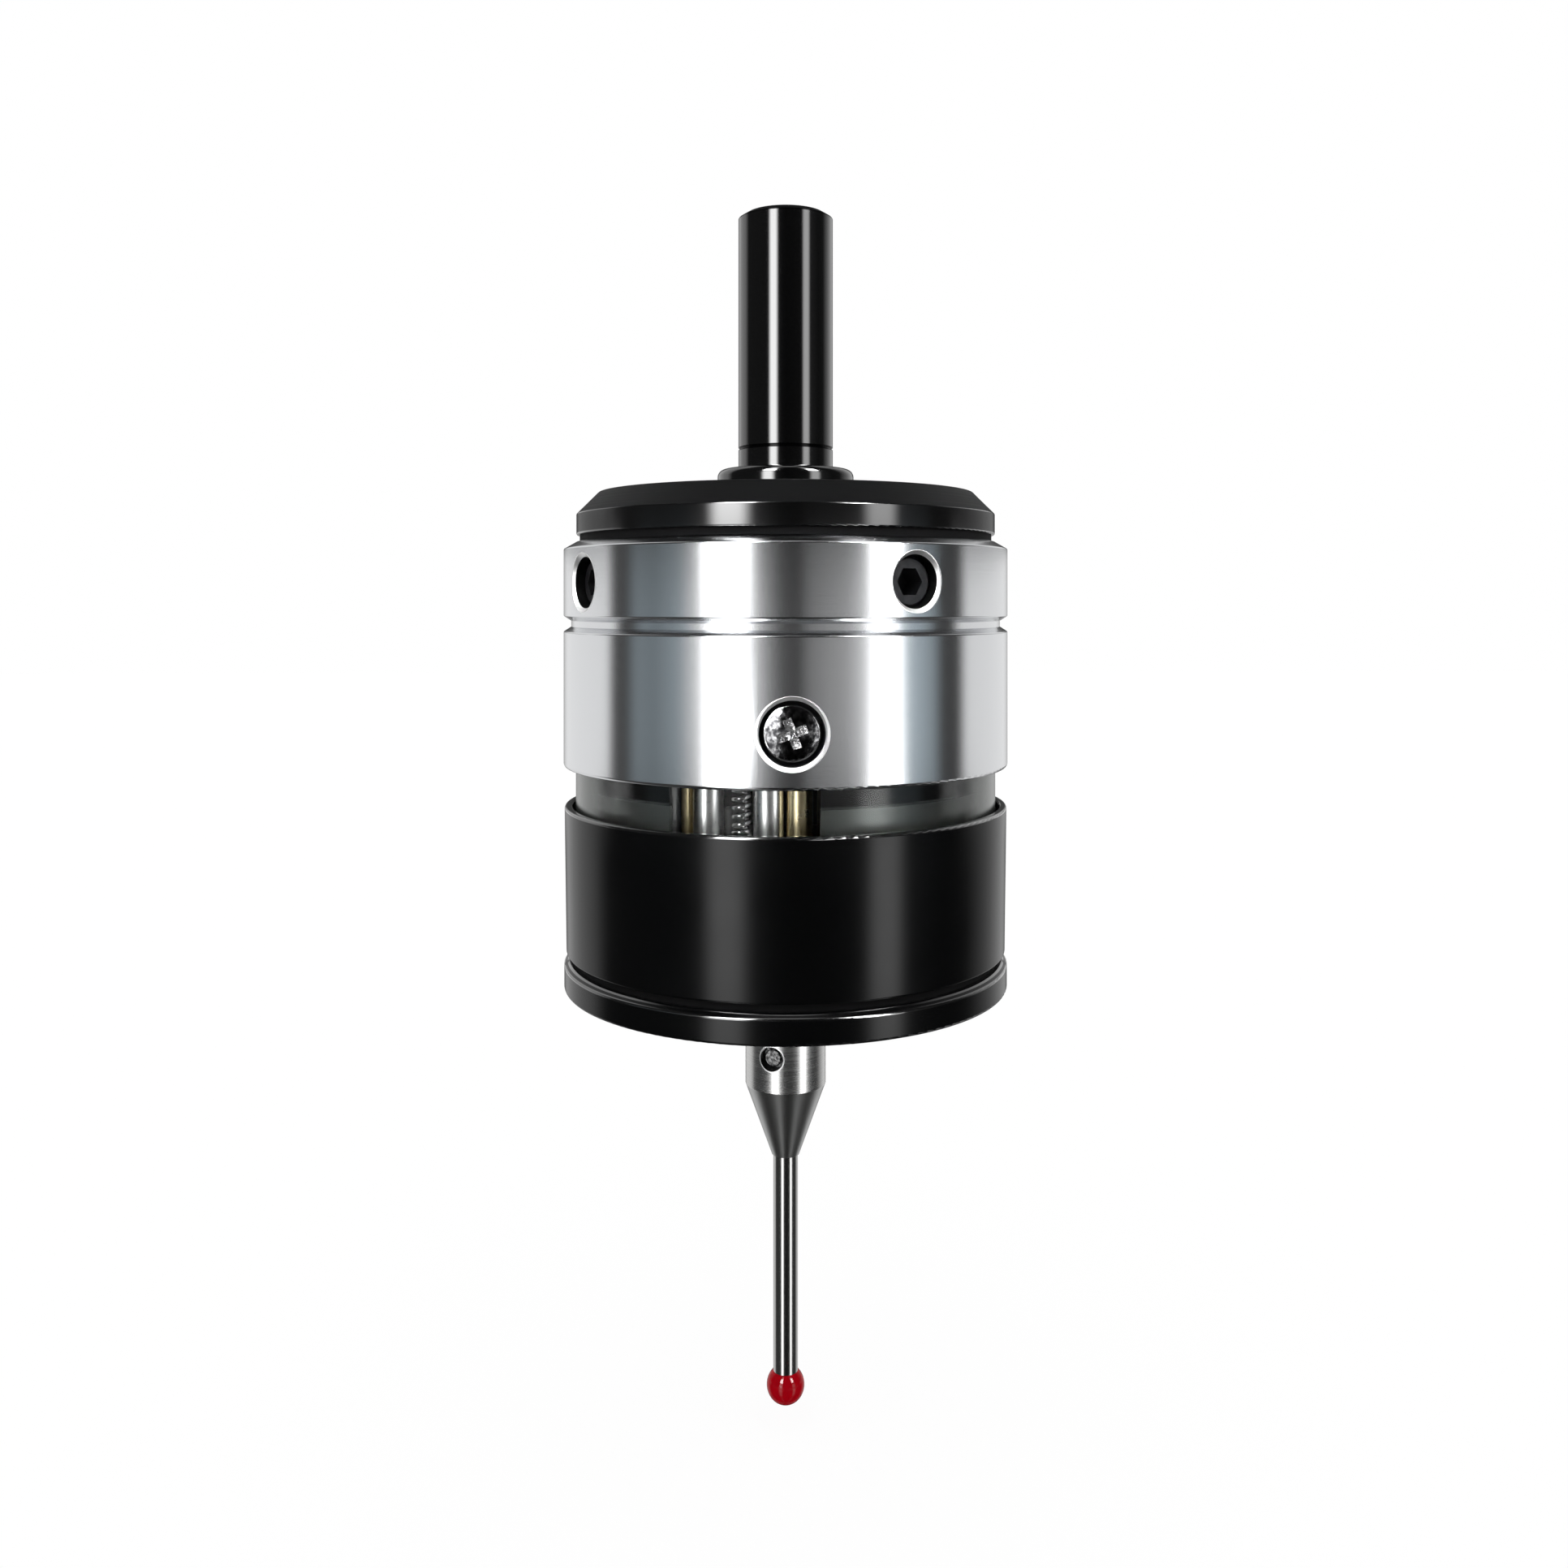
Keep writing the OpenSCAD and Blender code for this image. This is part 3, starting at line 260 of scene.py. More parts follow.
def build_world():
    world = bpy.data.worlds.new("white tent")
    world.use_nodes = True
    tree = world.node_tree
    tree.nodes.clear()
    start = Socket(tree)
    x, y, z = axes_of(start.add("ShaderNodeTexCoord", output="Generated"))
    compass = start.math("ARCTAN2", x, 0 - y) * (180 / math.pi) - math.degrees(EYE_AZIMUTH)
    height = start.math("ARCSINE", z) * (180 / math.pi)
    beside_body = height.step(*BODY_FOOT) - height.step(*BODY_TOP)
    room = beside_body.blend(room_ramp(compass, DARK_ROOM), room_ramp(compass, BODY_ROOM))
    lamps = strip_light(compass, height) + height.step(*CEILING) * CEILING_LEVEL
    rays = start.add("ShaderNodeLightPath").output.node.outputs
    camera_ray = Socket(tree, rays["Is Camera Ray"])
    glossy_ray = Socket(tree, rays["Is Glossy Ray"])
    soft_ray = 1 - camera_ray - glossy_ray
    cards = start.add("ShaderNodeBackground", None, {
        "Color": room, "Strength": glossy_ray * room_level(compass, height),
    })
    lights = start.add("ShaderNodeBackground", None, {
        "Color": WHITE, "Strength": camera_ray + glossy_ray * lamps + soft_ray * SOFT_LEVEL,
    })
    sky = start.add("ShaderNodeAddShader", None, {0: cards, 1: lights})
    output = tree.nodes.new("ShaderNodeOutputWorld")
    tree.links.new(sky.output, output.inputs["Surface"])
    return world


scene.world = build_world()
print("world", scene.world.name, "with", len(scene.world.node_tree.nodes), "nodes")

# %% [markdown]
# The floor is a plain pale sheet just below the ruby ball. The camera sees it almost white, so that it
# runs into the background, but it still takes a faint shadow. A glossy ray passes through it, so that
# the metal mirrors the strips of the tent right down to the floor.

# %% Floor
FLOOR_HEIGHT = -100 * MM
FLOOR_HALF = 1.5
FLOOR_PAINT = (0.85, 0.85, 0.85)
FLOOR_GLOW, GLOW_SHARE = 1.03, 0.9


def build_floor():
    corners = [(-1, -1), (1, -1), (1, 1), (-1, 1)]
    points = [(x * FLOOR_HALF, y * FLOOR_HALF, FLOOR_HEIGHT) for x, y in corners]
    mesh = bpy.data.meshes.new("floor")
    mesh.from_pydata(points, [], [(0, 1, 2, 3)])
    floor = bpy.data.objects.new("floor", mesh)
    scene.collection.objects.link(floor)
    material = bpy.data.materials.new("pale floor")
    material.use_nodes = True
    tree = material.node_tree
    tree.nodes.clear()
    start = Socket(tree)
    rays = start.add("ShaderNodeLightPath").output.node.outputs
    camera_ray = Socket(tree, rays["Is Camera Ray"])
    glossy_ray = Socket(tree, rays["Is Glossy Ray"])
    paint = start.add("ShaderNodeBsdfDiffuse", None, {"Color": FLOOR_PAINT})
    glow = start.add("ShaderNodeEmission", None, {"Strength": FLOOR_GLOW})
    clear = start.add("ShaderNodeBsdfTransparent")
    seen = start.add("ShaderNodeMixShader", None, {0: camera_ray * GLOW_SHARE, 1: paint, 2: glow})
    surface = start.add("ShaderNodeMixShader", None, {0: glossy_ray, 1: seen, 2: clear})
    output = tree.nodes.new("ShaderNodeOutputMaterial")
    tree.links.new(surface.output, output.inputs["Surface"])
    mesh.materials.append(material)


build_floor()
print("floor at", FLOOR_HEIGHT)

# %% [markdown]
# Every finish starts from the Principled shader. What is the same all over a surface is set on its own
# socket, and what changes over the surface comes from patterns on Object coordinates, in metres, so a
# pattern has its real size. Two patterns serve nearly every metal here: the rings that a lathe leaves,
# which run round the axis on walls and faces alike, and a fine speckle. Round a screw hole it helps to
# know how far out along the screw a point lies, and how far from the screw's axis.

# %% Finish helpers
class Finish:
    def __init__(self, name, constants):
        self.material = bpy.data.materials.new(name)
        self.material.use_nodes = True
        self.tree = self.material.node_tree
        self.shader = self.tree.nodes["Principled BSDF"]
        self.start = Socket(self.tree)
        for key, value in constants.items():
            self.set(key, value)

    def set(self, key, value):
        self.start.feed(self.shader.inputs[key], value)
        return self

    def bump(self, height, distance):
        relief = self.start.add("ShaderNodeBump", None, {"Distance": distance, "Height": height})
        return self.set("Normal", relief)

    def place(self):
        return axes_of(position(self.start))

    def speckle(self, scale, detail=2.0):
        return self.start.add(
            "ShaderNodeTexNoise", None,
            {"Vector": position(self.start), "Scale": scale, "Detail": detail},
        )

    def lathe(self, scale, detail):
        x, y, z = self.place()
        radius = (x * x + y * y) ** 0.5
        around = self.start.add("ShaderNodeCombineXYZ", None, {0: radius, 2: z})
        return self.start.add(
            "ShaderNodeTexNoise", None, {"Vector": around, "Scale": scale, "Detail": detail}
        )


def along_screw(finish, angle, height):
    x, y, z = finish.place()
    out = x * math.sin(angle) - y * math.cos(angle)
    across = x * math.cos(angle) + y * math.sin(angle)
    above = z - height
    return out, (across * across + above * above) ** 0.5


finishes = {}

# %% [markdown]
# Gloss black anodising covers the shank, the plate and the lower housing. It behaves like a black
# lacquer: nearly no colour of its own, a clear mirror of the strips, and faint smudges. The shank and the
# plate's rim are polished highest, so they get a clear coat. The shank's tip and groove and the whole top
# of the plate with its wide chamfer are duller, and masks by height leave the coat off there. Handling has
# polished the rims of the lower housing, so bands by height add a coat that catches the light as a line.
# The nut, the centring and the cover screws are blackened in an oxide bath, which leaves a cloudy
# grey-black.

# %% Black finishes
CHAMFER_LOW = -4.86 * MM
GROOVE_LOW, GROOVE_HIGH = 2.0 * MM, 2.38 * MM
TIP_CHAMFER = 26.4 * MM
# lower and upper height of each polished rim of the lower housing
EDGE_BANDS = [(-35.3 * MM, -34.9 * MM), (-51.06 * MM, -50.8 * MM), (-51.52 * MM, -51.24 * MM)]
DEEP_BLACK = (0.0016, 0.0017, 0.0019)
SMUDGE_BLACK = (0.0022, 0.0024, 0.0026)
SATIN_BLACK = (0.0035, 0.0036, 0.0038)
FINE_RINGS = 5200


def gloss_black(name, index):
    finish = Finish(name, {"IOR": index})
    return finish.bump(finish.lathe(FINE_RINGS, 2) + finish.speckle(9000) * 0.6, 0.0000008)


def smudged(finish, gloss):
    smudge = finish.speckle(140, 4)
    finish.set("Base Color", smudge.blend(DEEP_BLACK, SMUDGE_BLACK))
    return finish.set("Roughness", gloss + smudge * 0.08)


def plate_black():
    finish = gloss_black("gloss black with a satin top", 1.15)
    satin = finish.place()[2] > CHAMFER_LOW
    grain = finish.lathe(7000, 3)
    finish.set("Base Color", satin.blend(DEEP_BLACK, SATIN_BLACK))
    finish.set("Roughness", 0.1 + satin * (0.26 + grain * 0.16))
    finish.set("Coat IOR", 1.8).set("Coat Roughness", 0.12)
    return finish.set("Coat Weight", 1 - satin)


def shank_black():
    finish = gloss_black("polished black shank", 1.15)
    smudged(finish, 0.05 + finish.lathe(FINE_RINGS, 2) * 0.04)
    z = finish.place()[2]
    dull = (z > GROOVE_LOW) * (z < GROOVE_HIGH) + (z > TIP_CHAMFER)
    finish.set("Coat IOR", 1.75).set("Coat Roughness", 0.1)
    return finish.set("Coat Weight", 1 - dull)


def housing_black():
    finish = smudged(gloss_black("gloss black anodising", 1.29), 0.15)
    z = finish.place()[2]
    polished = 0.0
    for low, high in EDGE_BANDS:
        polished = (z > low) * (z < high) + polished
    return finish.set("Coat IOR", 2.0).set("Coat Weight", polished)


def black_oxide():
    finish = Finish("black oxide", {"Metallic": 0.6})
    wear = finish.speckle(1500, 4)
    finish.set("Base Color", wear.blend((0.008, 0.008, 0.009), (0.035, 0.035, 0.038)))
    finish.set("Roughness", 0.3 + wear * 0.2)
    return finish.bump(finish.speckle(7000), 0.000004)


finishes["black_anodised"] = housing_black()
finishes["shank_black"] = shank_black()
finishes["plate_black"] = plate_black()
finishes["black_steel"] = black_oxide()
print("black finishes ready")

# %% [markdown]
# The body sleeve is aluminium, turned, blasted very finely and anodised clear. It mirrors the room as
# broad soft bands with a fine sparkle. The sparkle is a bump of tiny grains, and weak lathe rings lie
# under it. The bevels of the screw holes are painted near white, a painted highlight, and the holes inside
# are painted dark, a painted shade. Both are found by the distance from each screw's axis.

# %% Silver sleeve
CENTRING_HEIGHT, SLEEVE_SCREW_HEIGHT = -12.05 * MM, -25.8 * MM
BEVEL, HOLE_EASE = 0.44 * MM, 0.02 * MM
# count, first angle in degrees, height and radius of the two kinds of holes
HOLES = [(4, 30, CENTRING_HEIGHT, 2.5 * MM), (3, 0, SLEEVE_SCREW_HEIGHT, 3.0 * MM)]


def hole_masks(finish):
    painted_shade_inside, painted_highlight_bevel = 0.0, 0.0
    for count, first, height, radius in HOLES:
        for copy in range(count):
            out, reach = along_screw(finish, math.radians(first + 360 / count * copy), height)
            front = out > 0.0
            painted_shade_inside = front * (reach < radius + HOLE_EASE) + painted_shade_inside
            painted_highlight_bevel = front * (reach < radius + BEVEL) + painted_highlight_bevel
    return painted_shade_inside, painted_highlight_bevel - painted_shade_inside


def silver_sleeve():
    finish = Finish("satin silver", {"Metallic": 1.0})
    grain = finish.speckle(14000, 3)
    rings = finish.lathe(4200, 3)
    painted_shade_inside, painted_highlight_bevel = hole_masks(finish)
    wall = grain.blend((0.7, 0.71, 0.725), (0.8, 0.81, 0.825))
    # painted highlight: the bevel rings get a near-white colour
    wall_with_painted_bevel = painted_highlight_bevel.blend(wall, (0.96, 0.96, 0.96))
    # painted shade: the holes inside are painted dark
    finish.set("Base Color", painted_shade_inside.blend(wall_with_painted_bevel, (0.012, 0.012, 0.012)))
    finish.set("Roughness", 0.1 + grain * 0.05 + rings * 0.03 + painted_highlight_bevel * 0.3 + painted_shade_inside * 0.4)
    return finish.bump(grain + rings * 0.4, 0.000003)


finishes["silver"] = silver_sleeve()
print("silver ready")

# %% [markdown]
# Steel comes in several states here: bright turned steel for the inner parts and the posts, ground and
# polished steel for the stem, drawn wire for the springs, a chromed ball and the cans of the cells. They
# differ in a few numbers only, so one function and a table make them all. The stylus base gets a finish
# of its own: its cone is painted darker, a painted shade, and is a little duller than the straight part.
# Its cross hole is painted dark inside, a painted shade, and near white at the rim, a painted highlight,
# both found by the distance from the hole's axis.

# %% Steel finishes
# name, dark and bright colour, roughness, size of the rings, and their depth in metres
STEELS = {
    "steel": ("turned steel", (0.55, 0.56, 0.57), (0.76, 0.76, 0.77), 0.2, 5200, 0.000004),
    "post_steel": ("bright post", (0.78, 0.78, 0.78), (0.88, 0.88, 0.87), 0.3, 3000, 0.000002),
    "stem": ("ground steel", (0.46, 0.46, 0.45), (0.54, 0.54, 0.53), 0.18, 40000, 0.00000001),
    "spring_steel": ("drawn wire", (0.5, 0.5, 0.51), (0.64, 0.64, 0.65), 0.12, 3000, 0.000001),
    "chrome_ball": ("polished ball", (0.76, 0.77, 0.78), (0.82, 0.83, 0.84), 0.05, 900, 0.0000002),
    "cell": ("cell can", (0.38, 0.4, 0.43), (0.5, 0.52, 0.55), 0.3, 1500, 0.000002),
}


def turned_steel(name, dark, bright, rough, ring_size, depth):
    finish = Finish(name, {"Metallic": 1.0})
    rings = finish.lathe(ring_size, 4)
    finish.set("Base Color", rings.blend(dark, bright))
    finish.set("Roughness", rough * 0.7 + rings * (rough * 0.6))
    return finish.bump(rings, depth)


for slot, numbers in STEELS.items():
    finishes[slot] = turned_steel(*numbers)

CONE_TOP = -64.8 * MM
LOCK_ANGLE, LOCK_HEIGHT = math.radians(-22), -61.19 * MM
LOCK_RADIUS, LOCK_RIM = 1.26 * MM, 0.14 * MM


def stylus_steel():
    finish = Finish("turned stylus steel", {"Metallic": 1.0})
    rings = finish.lathe(6500, 4)
    painted_shade_cone = finish.place()[2] < CONE_TOP
    out, reach = along_screw(finish, LOCK_ANGLE, LOCK_HEIGHT)
    painted_shade_hole = (out > 0.0) * (reach < LOCK_RADIUS)
    painted_highlight_rim = (out > 0.0) * (reach < LOCK_RADIUS + LOCK_RIM) - painted_shade_hole
    plain = rings.blend((0.56, 0.56, 0.555), (0.72, 0.72, 0.71))
    # painted shade: the cone is painted darker than the straight part
    metal = painted_shade_cone.blend(plain, (0.48, 0.485, 0.48))
    # painted highlight: the rim of the cross hole is painted near white
    metal = painted_highlight_rim.blend(metal, (0.95, 0.95, 0.95))
    # painted shade: the cross hole is painted dark inside
    finish.set("Base Color", painted_shade_hole.blend(metal, (0.004, 0.004, 0.004)))
    finish.set("Roughness", 0.22 + rings * 0.1 + painted_shade_cone * 0.04 + (painted_shade_hole + painted_highlight_rim) * 0.2)
    return finish.bump(rings, 0.000002)


finishes["stylus_steel"] = stylus_steel()
print(len(STEELS) + 1, "steels ready")

# %% [markdown]
# The ends and heads of screws are small, but they show close up. The lock screw's end is blasted, which
# is a speckle of pits. The domed heads are polished and scuffed: nearly black, with bright scratches.
# A point that lies deeper than the dome is in the recess, so the dome's own curve finds it. The recess
# and a thin ring at the head's edge are painted near white, painted highlights, and a bump breaks up the
# mirror of the recess into glints. The brass standoffs are a little tarnished.

# %% Screw ends and brass
HEAD_ANGLES, HEAD_TOP = (0, 120, 240), 22.8 * MM
DOME_RADIUS, HEAD_RIM = 6.5 * MM, 2.46 * MM
RECESS_REACH, RECESS_EASE = 1.6 * MM, 0.05 * MM


def blasted_steel():
    finish = Finish("blasted steel", {"Metallic": 1.0})
    pits = finish.speckle(3600, 3).step(0.36, 0.64)
    finish.set("Base Color", pits.blend((0.06, 0.06, 0.06), (0.42, 0.42, 0.42)))
    finish.set("Roughness", 0.35 + pits * 0.2)
    return finish.bump(pits, 0.00003)


def polished_head():
    finish = Finish("polished screw head", {"Metallic": 1.0})
    painted_highlight_recess, painted_highlight_rim = 0.0, 0.0
    for angle in HEAD_ANGLES:
        out, reach = along_screw(finish, math.radians(angle), SLEEVE_SCREW_HEIGHT)
        dome = HEAD_TOP - reach * reach / (2 * DOME_RADIUS)
        front = out > 0.0
        painted_highlight_recess = front * (out < dome - RECESS_EASE) * (reach < RECESS_REACH) + painted_highlight_recess
        painted_highlight_rim = front * (reach > HEAD_RIM) * (reach < HEAD_RIM * 1.1) + painted_highlight_rim
    scuffs = finish.speckle(2400, 4)
    face = scuffs.step(0.35, 0.75).blend((0.03, 0.03, 0.032), (0.3, 0.3, 0.305))
    # painted highlights: the recess and a thin ring at the head's edge are painted near white
    finish.set("Base Color", (painted_highlight_recess + painted_highlight_rim).blend(face, (0.8, 0.8, 0.81)))
    finish.set("Roughness", 0.08 + scuffs * 0.08)
    return finish.bump(scuffs * (0.15 + painted_highlight_recess * 0.85), 0.00012)


def brass():
    finish = Finish("turned brass", {"Metallic": 1.0})
    tarnish = finish.speckle(1100, 4)
    finish.set("Base Color", tarnish.blend((0.8, 0.7, 0.46), (0.56, 0.46, 0.26)))
    finish.set("Roughness", 0.22 + tarnish * 0.16)
    return finish.bump(finish.lathe(8000, 2), 0.000003)


finishes["blasted_steel"] = blasted_steel()
finishes["head_steel"] = polished_head()
finishes["brass"] = brass()
print("screw ends and brass ready")

# %% [markdown]
# The soft and the moulded pieces: rubber seals, the battery tray, chips, the unlit lamp, and the dark drum
# that passes only infrared light. They differ in gloss and in the size of their grain, so a table holds
# their numbers. Rubber hardly mirrors anything, so its specular level is low. The drum's outer skin is
# frosted grey below a line and glossy black above it, where the black is a painted shade under the body,
# and a mask by height mixes the two. The circuit board is covered with a dark solder mask, under which
# the edges of Voronoi cells stand out like tracks.

# %% Rubber and plastics
# name, dark and pale colour, roughness, size of the grain, and its depth in metres
PLASTICS = {
    "rubber": ("black rubber", (0.002, 0.002, 0.0022), (0.004, 0.004, 0.0042), 0.7, 5000, 0.00001),
    "tray_plastic": ("moulded tray", (0.02, 0.02, 0.022), (0.035, 0.035, 0.038), 0.5, 3000, 0.00001),
    "chip": ("moulded chip", (0.012, 0.012, 0.013), (0.025, 0.025, 0.027), 0.55, 6000, 0.000006),
    "emitter": ("tinted emitter", (0.02, 0.022, 0.035), (0.04, 0.045, 0.06), 0.1, 700, 0.000001),
    "lamp": ("unlit lamp", (0.03, 0.032, 0.03), (0.06, 0.062, 0.06), 0.4, 2000, 0.000002),
}


def moulded(name, dark, pale, rough, grain_size, depth):
    finish = Finish(name, {})
    grain = finish.speckle(grain_size, 3)
    finish.set("Base Color", grain.blend(dark, pale))
    finish.set("Roughness", rough * 0.85 + grain * (rough * 0.3))
    return finish.bump(grain, depth)


for slot, numbers in PLASTICS.items():
    finishes[slot] = moulded(*numbers)
finishes["rubber"].set("Specular IOR Level", 0.05)

FROST_AND_SHADE_LINE, FROST_AND_SHADE_EDGE = -32.9 * MM, 0.25 * MM
DRUM_SKIN = 20.0 * MM


def filter_drum():
    finish = Finish("dark filter", {})
    x, y, z = finish.place()
    outer = (x * x + y * y) ** 0.5 > DRUM_SKIN
    # painted shade: above this line the outer skin stays glossy black where the body shades it, below it
    # is frosted grey
    frosted_below_painted_shade = (1 - z.step(FROST_AND_SHADE_LINE - FROST_AND_SHADE_EDGE, FROST_AND_SHADE_LINE + FROST_AND_SHADE_EDGE)) * outer
    grain = finish.speckle(5000, 3)
    finish.set("Base Color", frosted_below_painted_shade.blend((0.002, 0.002, 0.0024), (0.11, 0.118, 0.112)))
    finish.set("Metallic", frosted_below_painted_shade * 0.75)
    finish.set("Roughness", 0.12 + frosted_below_painted_shade * (0.14 + grain * 0.08))
    return finish.bump(grain, 0.000001)


def solder_mask():
    finish = Finish("dark solder mask", {"Roughness": 0.3})
    track = finish.start.add(
        "ShaderNodeTexVoronoi", {"feature": "DISTANCE_TO_EDGE"},
        {"Vector": position(finish.start), "Scale": 520.0, "Randomness": 0.6},
    )
    line = 1 - track.step(0.05, 0.09)
    finish.set("Base Color", line.blend((0.008, 0.022, 0.014), (0.02, 0.05, 0.032)))
    return finish.bump(line, 0.00002)


finishes["filter"] = filter_drum()
finishes["board"] = solder_mask()
print(len(PLASTICS) + 2, "plastics ready")

# %% [markdown]
# The window is a clear, bloomed ring that mirrors almost nothing, which a low index gives. Seen at a
# slant its wall looks smoky, so the shader turns to a grey one there. The ball is synthetic ruby. It could
# be made as red glass, but the stone is so deep a red that hardly any light gets through, so a glossy red
# with a faint cloud in it is closer to the real one.

# %% Window and ruby
WINDOW_INDEX = 1.14
SMOKE_SLANT = (0.45, 0.64)


def clear_window():
    finish = Finish("clear window", {
        "Base Color": (0.97, 0.975, 0.973), "IOR": WINDOW_INDEX, "Transmission Weight": 1.0,
    })
    start = finish.start
    smears = finish.speckle(400, 3)
    finish.set("Roughness", 0.01 + smears * 0.02)
    smoke = start.add("ShaderNodeBsdfPrincipled", None, {
        "Base Color": (0.13, 0.138, 0.132), "Metallic": 0.6, "Roughness": 0.2,
    })
    slant = start.add("ShaderNodeLayerWeight", None, {"Blend": 0.5}, "Facing")
    clear = Socket(finish.tree, finish.shader.outputs["BSDF"])
    surface = start.add(
        "ShaderNodeMixShader", None, {0: slant.step(*SMOKE_SLANT), 1: clear, 2: smoke}
    )
    finish.tree.links.new(surface.output, finish.tree.nodes["Material Output"].inputs["Surface"])
    return finish


def ruby():
    finish = Finish("ruby", {"Roughness": 0.06, "IOR": 1.22})
    cloud = finish.speckle(500, 2)
    return finish.set("Base Color", cloud.blend((0.35, 0.001, 0.005), (0.41, 0.001, 0.008)))


finishes["window"] = clear_window()
finishes["ruby"] = ruby()
print("window and ruby ready")

# %% [markdown]
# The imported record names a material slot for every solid. The finish of that name replaces the plain
# one, and a few pieces get a finish of their own.

# %% Dress the solids
OWN_FINISH = {"shank": "shank_black", "top_plate": "plate_black", "stylus_base": "stylus_steel"}
slot_of = {part["node"]: part["material_slot"] for part in frame["record"]["subparts"]}
for name, solid in nodes.items():
    finish = finishes[OWN_FINISH.get(name, slot_of[name])]
    for slot in solid.material_slots:
        slot.material = finish.material
print("dressed", len(nodes), "solids")

# %% [markdown]
# Screws, springs and pillars repeat, so Geometry Nodes make them. Each tree has named inputs for its
# sizes. A few helpers are enough: one starts a tree, others move and join shapes, one stacks open cones
# into a turned shape, and one sets copies of a shape on a circle, counted from the front. At the end the
# copies become real, get their material, and the result is stored as a plain mesh at the origin.

# %% Geometry Nodes helpers
def new_tree(name, sizes):
    tree = bpy.data.node_groups.new(name, "GeometryNodeTree")
    tree.interface.new_socket("Geometry", in_out="OUTPUT", socket_type="NodeSocketGeometry")
    for label, value in sizes.items():
        kind = "NodeSocketInt" if isinstance(value, int) else "NodeSocketFloat"
        tree.interface.new_socket(label, in_out="INPUT", socket_type=kind)
    entry = tree.nodes.new("NodeGroupInput")
    return Socket(tree), {label: Socket(tree, entry.outputs[label]) for label in sizes}


def vector(start, x=0.0, y=0.0, z=0.0):
    return start.add("ShaderNodeCombineXYZ", None, {0: x, 1: y, 2: z})


def moved(shape, shift=(0.0, 0.0, 0.0), turn=(0.0, 0.0, 0.0)):
    return shape.add(
        "GeometryNodeTransform", None, {"Geometry": shape, "Translation": shift, "Rotation": turn}
    )


def joined(shapes):
    join = shapes[0].add("GeometryNodeJoinGeometry")
    for shape in reversed(shapes):
        shapes[0].tree.links.new(shape.output, join.output.node.inputs[0])
    return join


FACETS = 48
WELD, SCREW_WELD = 1e-6, 2e-6


def turned(start, profile):
    bands = []
    for (low_radius, low), (high_radius, high) in zip(profile, profile[1:]):
        band = start.add(
            "GeometryNodeMeshCone", {"fill_type": "NONE"},
            {"Vertices": FACETS, "Radius Bottom": low_radius, "Radius Top": high_radius,
             "Depth": high - low},
        )
        bands.append(moved(band, vector(start, z=low)))
    return start.add(
        "GeometryNodeMergeByDistance", None, {"Geometry": joined(bands), "Distance": WELD}
    )


def on_circle(shape, count, radius, first_angle):
    index = shape.add("GeometryNodeInputIndex")
    angle = index * (2 * math.pi / count) + first_angle
    spots = shape.add(
        "GeometryNodePoints", None,
        {"Count": count, "Position": vector(
            shape, shape.math("SINE", angle) * radius, shape.math("COSINE", angle) * radius * -1.0)},
    )
    return shape.add(
        "GeometryNodeInstanceOnPoints", None,
        {"Points": spots, "Instance": shape, "Rotation": vector(shape, z=angle)},
    )


def finished_piece(name, shape, sizes, finish, stands_for, smooth_angle=35, body="housing"):
    real = shape.add("GeometryNodeRealizeInstances", None, {0: shape})
    painted = real.add(
        "GeometryNodeSetMaterial", None, {"Geometry": real, "Material": finishes[finish].material}
    )
    output = shape.tree.nodes.new("NodeGroupOutput")
    shape.tree.links.new(painted.output, output.inputs[0])
    piece = bpy.data.objects.new(name, bpy.data.meshes.new(name))
    scene.collection.objects.link(piece)
    modifier = piece.modifiers.new(name, "NODES")
    modifier.node_group = shape.tree
    for item in shape.tree.interface.items_tree:
        if item.in_out == "INPUT":
            modifier[item.identifier] = sizes[item.name]
    whole = piece.evaluated_get(bpy.context.evaluated_depsgraph_get())
    mesh = bpy.data.meshes.new_from_object(whole)
    piece.modifiers.remove(modifier)
    piece.data = mesh
    mesh.name = name
    mesh.shade_smooth()
    mesh.set_sharp_from_angle(angle=math.radians(smooth_angle))
    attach(piece, body)
    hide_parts(stands_for)
    print(name, len(mesh.vertices), "vertices")
    return piece

# %% [markdown]
# A compression spring is one wire on a helix whose first and last turn lie closed. A straight curve is
# resampled, each point is moved onto the helix by its place along the curve, and a round profile is
# swept along it. The main spring sits under the plug and shortens when the stylus is pushed up. Three
# small contact springs stand on the circuit board.

# %% Springs
WIRE_FACETS = 12
CLOSED_PITCH = 1.1


